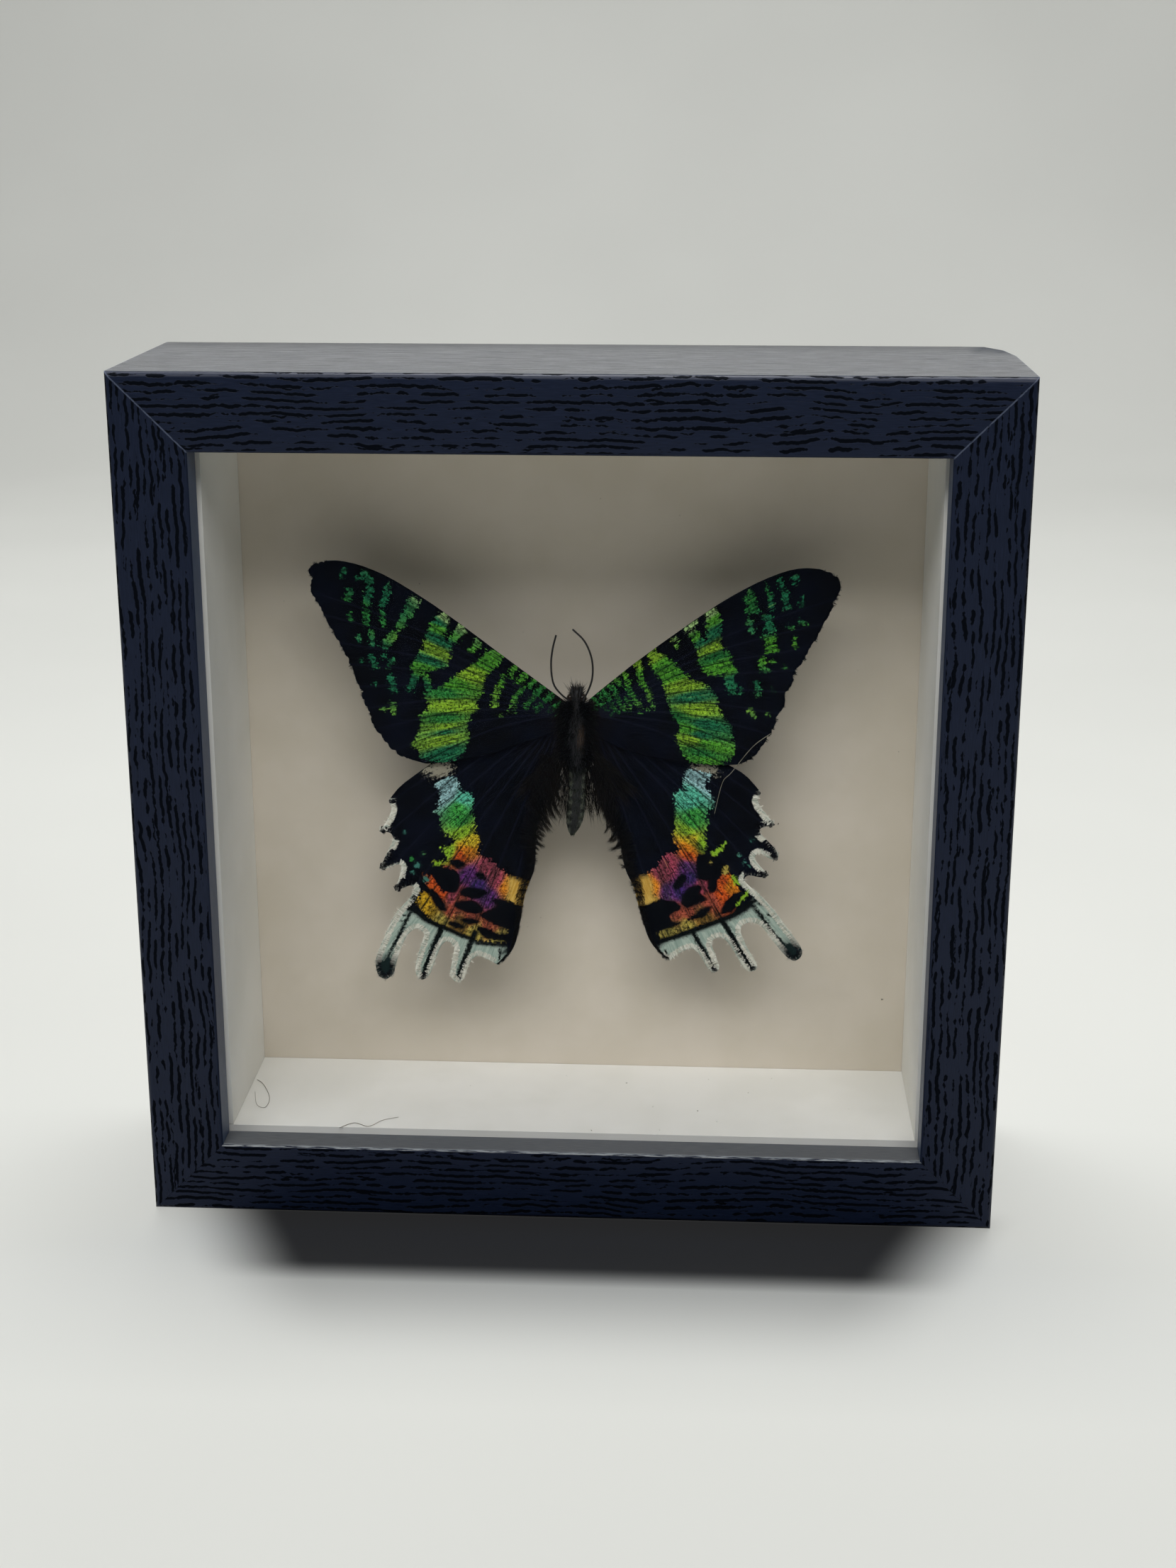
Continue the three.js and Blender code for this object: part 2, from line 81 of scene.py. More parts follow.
def linear(code):
    # a web colour as the linear light that Blender works in
    parts = [int(code[i:i + 2], 16) / 255 for i in (1, 3, 5)]
    return [c / 12.92 if c <= 0.04045 else ((c + 0.055) / 1.055) ** 2.4 for c in parts] + [1.0]


def addNode(tree, kind, inputs, **settings):
    made = tree.nodes.new("ShaderNode" + kind)
    for key, value in settings.items():
        setattr(made, key, value)
    for key, value in inputs.items():
        if isinstance(value, bpy.types.NodeSocket):
            tree.links.new(value, made.inputs[key])
        else:
            made.inputs[key].default_value = value
    return made


def mixColour(tree, factor, first, second, blend="MIX"):
    made = addNode(tree, "Mix", {0: factor, 6: first, 7: second}, data_type="RGBA", blend_type=blend)
    return made.outputs[2]


def sums(tree, operation, first, second=0.0):
    return addNode(tree, "Math", {0: first, 1: second}, operation=operation).outputs[0]


def between(tree, value, low, high, start=0.0, end=1.0):
    # a smooth step from start to end as value goes from low to high
    inputs = {"Value": value, "From Min": low, "From Max": high, "To Min": start, "To Max": end}
    return addNode(tree, "MapRange", inputs, interpolation_type="SMOOTHSTEP").outputs[0]


def noise(tree, vector, scale, detail=3.0, roughness=0.55):
    inputs = {"Vector": vector, "Scale": scale, "Detail": detail, "Roughness": roughness}
    return addNode(tree, "TexNoise", inputs).outputs[0]


def stretched(tree, vector, factors):
    made = addNode(tree, "VectorMath", {0: vector, 1: factors}, operation="MULTIPLY")
    return made.outputs[0]


def attribute(tree, name, output="Fac"):
    return addNode(tree, "Attribute", {}, attribute_name=name).outputs[output]


def objectPlace(tree):
    return addNode(tree, "TexCoord", {}).outputs["Object"]


def bumped(tree, height, strength, distance):
    inputs = {"Height": height, "Strength": strength, "Distance": distance}
    return addNode(tree, "Bump", inputs).outputs[0]


def newMaterial(name, roughness, metallic=0.0):
    material = bpy.data.materials.new(name)
    material.use_nodes = True
    tree = material.node_tree
    shader = tree.nodes["Principled BSDF"]
    shader.inputs["Roughness"].default_value = roughness
    shader.inputs["Metallic"].default_value = metallic
    return material, tree, shader


def plug(tree, shader, **sockets):
    names = {"colour": "Base Color", "roughness": "Roughness", "normal": "Normal", "alpha": "Alpha"}
    for key, socket in sockets.items():
        tree.links.new(socket, shader.inputs[names[key]])


# Small helpers for meshes: points come in millimetres

def makeObject(name, points, faces, material, smooth=True):
    mesh = bpy.data.meshes.new(name)
    mesh.from_pydata((np.asarray(points, dtype=float) * mm).tolist(), [], faces)
    mesh.materials.append(material)
    mesh.polygons.foreach_set("use_smooth", [smooth] * len(mesh.polygons))
    mesh.update()
    made = bpy.data.objects.new(name, mesh)
    bpy.context.scene.collection.objects.link(made)
    return made


def ringFaces(rings, sides):
    # the sides of a stack of rings and the two caps that close it
    faces = []
    for i in range(rings - 1):
        for j in range(sides):
            a, b = i * sides + j, i * sides + (j + 1) % sides
            faces.append((a, b, b + sides, a + sides))
    last = (rings - 1) * sides
    return faces + [tuple(reversed(range(sides))), tuple(range(last, last + sides))]


def outward(made):
    shape = bmesh.new()
    shape.from_mesh(made.data)
    bmesh.ops.recalc_face_normals(shape, faces=shape.faces)
    shape.to_mesh(made.data)
    shape.free()


def addFloats(made, name, values):
    layer = made.data.attributes.new(name, "FLOAT", "POINT")
    layer.data.foreach_set("value", np.asarray(values, dtype=np.float32))


def addVectors(made, name, values):
    layer = made.data.attributes.new(name, "FLOAT_VECTOR", "POINT")
    layer.data.foreach_set("vector", np.asarray(values, dtype=np.float32).ravel())


def addColours(made, name, values):
    layer = made.data.attributes.new(name, "FLOAT_COLOR", "POINT")
    full = np.ones((len(values), 4), dtype=np.float32)
    full[:, :3] = values
    layer.data.foreach_set("color", full.ravel())


def dress(nodeName, material):
    node = frame["nodes"][nodeName]
    if not node.material_slots:
        node.data.materials.append(material)
    for place in node.material_slots:
        place.link = "OBJECT"
        place.material = material
    return node


def soften(node, width):
    edge = node.modifiers.new("edge", "BEVEL")
    edge.width = width * mm
    edge.segments = 2
    edge.limit_method = "ANGLE"
    edge.angle_limit = math.radians(40)


# Strands of hair as one joined mesh. Each one is a flat ribbon that narrows to its tip.
# roots, tips and bends are rows of millimetres, width is the width at the root.

def strands(name, roots, tips, bends, width, material, steps=4, tone=None, taper=0.85):
    roots, tips, bends = (np.asarray(rows, dtype=float) for rows in (roots, tips, bends))
    count = len(roots)
    turn = chance.uniform(0, math.pi, count)
    run = tips - roots
    run /= np.linalg.norm(run, axis=1)[:, None] + 1e-9
    guide = np.where(np.abs(run[:, 2:3]) > 0.9, [[1.0, 0.0, 0.0]], [[0.0, 0.0, 1.0]])
    sideA = np.cross(run, guide)
    sideA /= np.linalg.norm(sideA, axis=1)[:, None]
    sideB = np.cross(run, sideA)
    aside = sideA * np.cos(turn)[:, None] + sideB * np.sin(turn)[:, None]
    widths = width * chance.uniform(0.7, 1.3, count)
    points = []
    for t in np.linspace(0, 1, steps + 1):
        centre = roots * (1 - t) + tips * t + bends * (4 * t * (1 - t))
        half = aside * (widths * 0.5 * (1 - taper * t ** 1.5))[:, None]
        points += [centre - half, centre + half]
    points = np.stack(points, axis=1).reshape(-1, 3)
    perStrand = 2 * (steps + 1)
    faces = []
    for i in range(count):
        first = i * perStrand
        for j in range(steps):
            a = first + 2 * j
            faces.append((a, a + 1, a + 3, a + 2))
    made = makeObject(name, points, faces, material)
    tones = chance.uniform(0, 1, count) if tone is None else np.asarray(tone)
    addFloats(made, "tone", np.repeat(tones, perStrand))
    addFloats(made, "toTip", np.tile(np.repeat(np.linspace(0, 1, steps + 1), 2), count))
    return made


# Distances from points to drawn outlines, all in the plane of a wing

def toSegments(points, path):
    path = np.asarray(path, dtype=float)
    best = np.full(len(points), 1e9)
    if len(path) == 1:
        return np.linalg.norm(points - path[0], axis=1)
    for a, b in zip(path[:-1], path[1:]):
        run = b - a
        t = np.clip(((points - a) @ run) / max(run @ run, 1e-9), 0, 1)
        best = np.minimum(best, np.linalg.norm(points - a - t[:, None] * run, axis=1))
    return best


def insideOf(points, loop):
    inside = np.zeros(len(points), dtype=bool)
    x, z = points[:, 0], points[:, 1]
    for (xa, za), (xb, zb) in zip(loop, np.roll(loop, -1, axis=0)):
        crosses = (za > z) != (zb > z)
        slope = (xb - xa) / (zb - za) if zb != za else 0.0
        inside ^= crosses & (x < xa + (z - za) * slope)
    return inside


def depthIn(points, loop):
    # how far inside a closed outline each point is; negative outside
    loop = np.asarray(loop, dtype=float)
    distance = toSegments(points, np.vstack([loop, loop[:1]]))
    return np.where(insideOf(points, loop), distance, -distance)


def rounded(loop, closed=True, steps=4):
    # a smooth curve through the points of an outline
    loop = np.asarray(loop, dtype=float)
    count = len(loop)
    made = []
    for i in range(count if closed else count - 1):
        if closed:
            a, b, c, d = (loop[(i + k) % count] for k in (-1, 0, 1, 2))
        else:
            a, b, c, d = (loop[min(max(i + k, 0), count - 1)] for k in (-1, 0, 1, 2))
        for t in np.linspace(0, 1, steps, endpoint=False):
            made.append(0.5 * (2 * b + (c - a) * t + (2 * a - 5 * b + 4 * c - d) * t ** 2
                               + (3 * b - a - 3 * c + d) * t ** 3))
    if not closed:
        made.append(loop[-1])
    return np.array(made)


def deepest(points, patches, dashes=()):
    best = np.full(len(points), -9.0)
    for patch in patches:
        best = np.maximum(best, depthIn(points, rounded(patch)))
    for width, path in dashes:
        best = np.maximum(best, width / 2 - toSegments(points, path))
    return best


# The frame's rails, wrapped in a foil with a coarse open grain

rails = {
    "side": 150.0,
    "depth": 45.0,
    "face": 13.0,
    "lip": 5.8,
    "wall": 10.2,
    "arris": 1.0,  # radius of the outer edge at the front
    "softEdge": 0.4,  # radius of the other edges
    "sideStations": (30.0, 15.0, 3.0),  # mm behind the front, down the outer side
    "faceStations": (5.0, 9.0),  # mm in from the outside, across the face
    "lipStation": 0.9,
    "mitreGap": 0.03,
    "stations": 40,
    "knock": (0.5, 0.5, 0.7),  # how far the crushed corner is pushed in
    "knockReach": 5.0,
    "foil": "#0b1426",
    "foilLight": "#131c31",
    "pore": "#03060d",
    "gloss": 0.42,
    "poreRough": 0.7,
    "sheen": 0.9,
    "worn": "#8f9394",
    "seam": "#4a5264",
    # painted light: the lip's inner sides on the left and right rails are made lighter
    "lipSidePaintedLight": "#3f4d63",
    # a grey smear on the bottom rail's lip
    "lipGreyBelow": "#606263",
    # partly dust, partly painted sheen: the lighter grey of the top rail's upper face
    "dust": "#a2a4a5",
    "dustAndSheenShare": 0.24,
    "fleck": "#b9bab6",
}

pores = {
    "spacing": 1.2,  # mm between the rows
    "share": 0.59,  # of each row's length
    "half": 0.29,  # mm, half the widest pore
    "otherSpacing": 1.35,  # the second set of rows, as shares of the first
    "otherShift": 0.37,
    "otherShare": 0.48,
    "otherHalf": 0.8,
    "wave": 3.2,
    "wander": 0.9,
    "blur": (-0.05, 0.07),
}


def arcPoints(centreA, centreB, radius, fromAngle, toAngle, steps):
    angles = np.linspace(math.radians(fromAngle), math.radians(toAngle), steps)
    return [(centreA + radius * math.cos(t), centreB + radius * math.sin(t)) for t in angles]


def railSection():
    # across is how far in from the outside, back is how far behind the front
    face, depth, wall, lip = rails["face"], rails["depth"], rails["wall"], rails["lip"]
    soft, arris = rails["softEdge"], rails["arris"]
    section = [(wall, depth)]
    section += arcPoints(soft, depth - soft, soft, 90, 180, 4)
    section += [(0.0, back) for back in rails["sideStations"]]
    section += arcPoints(arris, arris, arris, 180, 270, 8)
    section += [(across, 0.0) for across in rails["faceStations"]]
    section += arcPoints(face - soft, soft, soft, 270, 360, 6)
    section += [(face, rails["lipStation"]), (face, lip), (wall, lip)]
    return section


def poreRows(tree, grain, spacing, shift, share, thickest):
    # broken dark lines along the rail, one wandering row beside another
    parts = addNode(tree, "SeparateXYZ", {0: grain}).outputs
    wave = noise(tree, stretched(tree, grain, (0.045, 0.10, 1.0)), 1.0, 1.0)
    across = sums(tree, "ADD", parts[1], sums(tree, "MULTIPLY", wave, pores["wave"]))
    across = sums(tree, "ADD", sums(tree, "DIVIDE", across, spacing), shift)
    row = sums(tree, "MULTIPLY", sums(tree, "FLOOR", across), 9.7)  # each row has its own noise
    lineAt = addNode(tree, "CombineXYZ", {"X": parts[0], "Y": row, "Z": parts[2]}).outputs[0]
    wander = noise(tree, stretched(tree, lineAt, (0.42, 1.0, 1.0)), 1.0, 2.5, 0.6)
    wander = sums(tree, "MULTIPLY", sums(tree, "SUBTRACT", wander, 0.5), pores["wander"])
    offset = sums(tree, "SUBTRACT", sums(tree, "FRACT", across), 0.5)
    offset = sums(tree, "ADD", offset, wander)
    away = sums(tree, "MULTIPLY", sums(tree, "ABSOLUTE", offset), spacing)
    swell = noise(tree, stretched(tree, lineAt, (0.17, 1.3, 1.0)), 1.0, 4.0, 0.62)
    half = between(tree, swell, 1 - share, 1 - share + 0.13, -0.06, thickest)
    return between(tree, sums(tree, "SUBTRACT", half, away), *pores["blur"])


def allPores(tree, grain):
    spacing, half = pores["spacing"], pores["half"]
    mainRows = poreRows(tree, grain, spacing, 0.0, pores["share"], half)
    otherRows = poreRows(tree, grain, spacing * pores["otherSpacing"], pores["otherShift"],
                         pores["otherShare"], half * pores["otherHalf"])
    pore = sums(tree, "MAXIMUM", mainRows, otherRows)
    return sums(tree, "MULTIPLY", pore, sums(tree, "SUBTRACT", 1.0, attribute(tree, "plain")))


def lipTones(tree, grain, fine, colour):
    # the lip gets painted light at the sides, a grey smear below, and is worn to a pale line along its
    # edge
    colour = mixColour(tree, attribute(tree, "lipSidePaintedLight"), colour, linear(rails["lipSidePaintedLight"]))
    smear = sums(tree, "MULTIPLY", attribute(tree, "lipGreyBelow"), between(tree, fine, 0.3, 0.7, 0.65, 1.0))
    colour = mixColour(tree, smear, colour, linear(rails["lipGreyBelow"]))
    rub = between(tree, noise(tree, stretched(tree, grain, (0.35, 3.0, 1.0)), 1.0, 4.0), 0.38, 0.6)
    worn = sums(tree, "MULTIPLY", attribute(tree, "lipEdge"), rub)
    return mixColour(tree, worn, colour, linear(rails["worn"]))


def seamTone(tree, grain, colour):
    # the mitres of the upper corners catch the light in a broken line
    seam = between(tree, attribute(tree, "toMitre"), 0.06, 0.22, 1.0, 0.0)
    broken = between(tree, noise(tree, stretched(tree, grain, (1.0, 0.5, 1.0)), 1.0, 3.0), 0.3, 0.5)
    seam = sums(tree, "MULTIPLY", sums(tree, "MULTIPLY", seam, broken), attribute(tree, "upper"))
    return mixColour(tree, seam, colour, linear(rails["seam"]))


def railMaterial():
    material, tree, shader = newMaterial("grainedFoil", 0.45)
    grain = attribute(tree, "grain", "Vector")
    pore = allPores(tree, grain)
    fine = noise(tree, stretched(tree, grain, (0.35, 7.0, 1.0)), 1.0, 3.0)
    foilTone = between(tree, fine, 0.3, 0.75)
    colour = mixColour(tree, foilTone, linear(rails["foil"]), linear(rails["foilLight"]))
    colour = mixColour(tree, pore, colour, linear(rails["pore"]))
    colour = seamTone(tree, grain, lipTones(tree, grain, fine, colour))

    # The top rail's upper face is lighter grey, partly dust and pale flecks, partly painted sheen from the
    # light behind.
    topDustAndSheen = attribute(tree, "topDustAndSheen")
    fleck = between(tree, noise(tree, stretched(tree, grain, (1.6, 2.6, 1.0)), 1.0, 4.0, 0.7), 0.735, 0.76)
    colour = mixColour(tree, sums(tree, "MULTIPLY", fleck, topDustAndSheen), colour, linear(rails["fleck"]))
    streaks = noise(tree, stretched(tree, grain, (0.11, 6.0, 1.0)), 1.0, 4.0, 0.7)
    # streaked dust and painted sheen on the upper face
    dust = sums(tree, "MULTIPLY", between(tree, streaks, 0.32, 0.68, 0.3, 1.6), topDustAndSheen)
    dustAndSheenBlend = sums(tree, "MULTIPLY", dust, rails["dustAndSheenShare"])
    colour = mixColour(tree, dustAndSheenBlend, colour, linear(rails["dust"]))

    rough = between(tree, pore, 0.0, 1.0, rails["gloss"], rails["poreRough"])
    rough = sums(tree, "ADD", rough, sums(tree, "MULTIPLY", sums(tree, "SUBTRACT", fine, 0.5), 0.25))
    height = sums(tree, "SUBTRACT", sums(tree, "MULTIPLY", fine, 0.15), pore)
    plug(tree, shader, colour=colour, roughness=rough, normal=bumped(tree, height, 0.45, 0.08 * mm))
    shine = sums(tree, "MULTIPLY", sums(tree, "SUBTRACT", 1.25, pore), 0.15)
    tree.links.new(shine, shader.inputs["Specular IOR Level"])
    tree.links.new(sums(tree, "MULTIPLY", dust, rails["sheen"]), shader.inputs["Sheen Weight"])
    shader.inputs["Sheen Roughness"].default_value = 0.35
    return material


def railPoints(quarter):
    # the section swept along one rail, with what the foil's material reads at each point
    section = railSection()
    half, face, depth = rails["side"] / 2, rails["face"], rails["depth"]
    steps = [math.dist(a, b) for a, b in zip(section[:-1], section[1:])]
    around = np.concatenate([[0.0], np.cumsum(steps)])
    gap = rails["mitreGap"] * math.cos(math.radians(45))
    points, grain = [], []
    tones = {name: [] for name in ("lipEdge", "lipSidePaintedLight", "lipGreyBelow", "plain", "toMitre")}
    for share in np.linspace(-1, 1, rails["stations"] + 1):
        for (across, back), place in zip(section, around):
            along = share * (half - across - gap)
            x, z = along, across - half
            for _ in range(quarter):
                x, z = -z, x
            points.append((x, back - depth / 2, z + half))
            grain.append((along + 400 * quarter, place, 31.0 * quarter))
            inLip = across > face - 0.1 and back > 0.3
            tones["lipEdge"].append(quarter == 0 and across > face - 0.2 and back < 0.5)
            # painted light on the inner sides of the left and right rails' lip
            tones["lipSidePaintedLight"].append(inLip and quarter in (1, 3))
            # the bottom rail's lip carries a grey smear
            tones["lipGreyBelow"].append(inLip and quarter == 0)
            tones["plain"].append(across > face - 0.3 or back > depth - 1)
            tones["toMitre"].append((1 - abs(share)) * (half - across))
    return np.array(points), grain, tones, len(section)


def addRail(name, quarter, material):
    points, grain, tones, count = railPoints(quarter)
    if name in ("rail_top", "rail_right"):
        points = knocked(points)
    faces = ringFaces(rails["stations"] + 1, count)
    made = makeObject("foil_" + name, points, faces, material, smooth=False)
    outward(made)
    made.data.polygons.foreach_set("use_smooth", [True] * len(made.data.polygons))
    made.data.set_sharp_from_angle(angle=math.radians(32))
    tones["upper"] = points[:, 2] > rails["side"] / 2
    # the top rail's upper face carries dust and painted sheen
    tones["topDustAndSheen"] = np.isclose(points[:, 2], rails["side"], atol=0.02) & (name == "rail_top")
    addVectors(made, "grain", grain)
    for toneName, values in tones.items():
        addFloats(made, toneName, values)
    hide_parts(name)
    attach(made, "root")


def knocked(points):
    # the right rear corner at the top is slightly crushed
    corner = np.array([rails["side"] / 2, rails["depth"] / 2, rails["side"]])
    away = np.linalg.norm(points - corner, axis=1)
    pull = np.clip(1 - away / rails["knockReach"], 0, 1) ** 2
    return points - pull[:, None] * np.array(rails["knock"])


foil = railMaterial()
for quarter, railName in enumerate(["rail_bottom", "rail_right", "rail_top", "rail_left"]):
    addRail(railName, quarter, foil)
print("rails wrapped")


# Glass, boards, card and the fixings behind

panels = {
    "liner": ("#efeee8", "#e8e7e0", 1600.0),  # tone, second tone and grain for each board
    "card": ("#dad1c2", "#d3cab9", 2200.0),
    "hardboard": ("#6b4d31", "#745435", 2600.0),
    "boardSpeck": "#8a8069",
    "steel": "#9a9c9d",
    "steelDull": "#6f6f6c",
    "clear": "#fdfdfd",
    "reflection": "#7f9fca",
    "glassBend": 1.12,
}


def glassMaterial():
    material = bpy.data.materials.new("glazing")
    material.use_nodes = True
    tree = material.node_tree
    tree.nodes.remove(tree.nodes["Principled BSDF"])
    clear = addNode(tree, "BsdfTransparent", {"Color": linear(panels["clear"])})
    place = objectPlace(tree)
    cloud = noise(tree, stretched(tree, place, (9.0, 9.0, 16.0)), 1.0, 3.0)
    rough = between(tree, cloud, 0.4, 0.7, 0.02, 0.10)
    gloss = addNode(tree, "BsdfGlossy", {"Color": linear(panels["reflection"]), "Roughness": rough})
    bounce = addNode(tree, "Fresnel", {"IOR": panels["glassBend"]}).outputs[0]
    mixed = addNode(tree, "MixShader", {0: bounce, 1: clear.outputs[0], 2: gloss.outputs[0]})
    shadow = addNode(tree, "LightPath", {}).outputs["Is Shadow Ray"]
    final = addNode(tree, "MixShader", {0: shadow, 1: mixed.outputs[0], 2: clear.outputs[0]})
    tree.links.new(final.outputs[0], tree.nodes["Material Output"].inputs["Surface"])
    return material


def boardMaterial(name, tone, secondTone, fibre):
    material, tree, shader = newMaterial(name, 0.85)
    place = objectPlace(tree)
    blotch = noise(tree, place, 60.0, 4.0, 0.6)
    speckle = noise(tree, place, fibre, 4.0, 0.7)
    colour = mixColour(tree, between(tree, blotch, 0.3, 0.7), linear(tone), linear(secondTone))
    dark = between(tree, speckle, 0.62, 0.80, 0.0, 0.25)
    colour = mixColour(tree, dark, colour, linear(panels["boardSpeck"]))
    plug(tree, shader, colour=colour, normal=bumped(tree, speckle, 0.25, 0.05 * mm))
    return material


def steelMaterial():
    material, tree, shader = newMaterial("steel", 0.38, 1.0)
    dull = noise(tree, objectPlace(tree), 900.0, 4.0)
    share = between(tree, dull, 0.3, 0.7)
    colour = mixColour(tree, share, linear(panels["steel"]), linear(panels["steelDull"]))
    plug(tree, shader, colour=colour, roughness=between(tree, dull, 0.3, 0.7, 0.3, 0.5))
    return material


dress("glass", glassMaterial())
linerBoard = boardMaterial("whiteBoard", *panels["liner"])
for linerName in ("liner_bottom", "liner_top", "liner_left", "liner_right"):
    soften(dress(linerName, linerBoard), 0.12)
dress("mount_card", boardMaterial("creamCard", *panels["card"]))
soften(dress("backing_board", boardMaterial("hardboard", *panels["hardboard"])), 0.2)
steel = steelMaterial()
for sideName in ("bottom", "top", "left", "right"):
    for number in (1, 2):
        dress(f"tab_{sideName}_{number}", steel)
for steelName in ("hanger", "nail_1", "nail_2", "pin"):
    dress(steelName, steel)
print("glass and boards dressed")


# The wings. Outlines come from the CAD wings; every mark is drawn in
# millimetres from the shoulders: x to the right, z up. Patches and blots are outlines,
# dashes and dark marks are strokes with a width, dabs say which tint lies where.

wings = {
    "shoulder": 88.0,  # mm above the floor
    "rise": 0.045,  # how far the tips come forward for each mm out
    "foreMiddle": 2.8,  # mm behind the middle of the frame, at the root
    "hindMiddle": 3.7,
    "edgeSpacing": 0.25,
    "grid": 0.26,
    "thickness": 0.1,
    "fringe": 0.98,
    "scaleBlack": "#020306",
    "scaleBlue": "#050813",
    "brown": "#0f0b0a",
    "ridge": "#1d2030",
    "dim": "#06251c",
    "glint": "#b8cf4a",
    "groove": "#04100a",
    "veinShade": "#050d08",
    "speck": "#050c0a",
    "pale": "#b4c3b5",
    "paleStreak": "#5f7c72",
    "smoke": "#a5a08c",
    "white": "#e4e2d4",
    "whiteShade": "#a9b3a6",
    "cream": "#dcb75c",
    "creamShade": "#c2953c",
    "dark": "#060b0a",
    "clubShade": "#1c2b2a",
}

tints = {
    "leaf": "#4f9a2a",
    "lime": "#8dbb2e",
    "moss": "#2c7a35",
    "teal": "#216e48",
    "chalk": "#9fc37c",
    "ice": "#9cc6c8",
    "slate": "#3f7567",
    "mint": "#5cc0a0",
    "green": "#44a544",
    "yellow": "#dcc02a",
    "orange": "#ea8a1c",
    "ember": "#d4541c",
    "rose": "#a9465a",
    "plum": "#5f2c70",
    "violet": "#45266e",
    "gold": "#cc9f1e",
    "brick": "#a84e3a",
    "brown": "#8a6528",
    "olive": "#b3a04a",
}

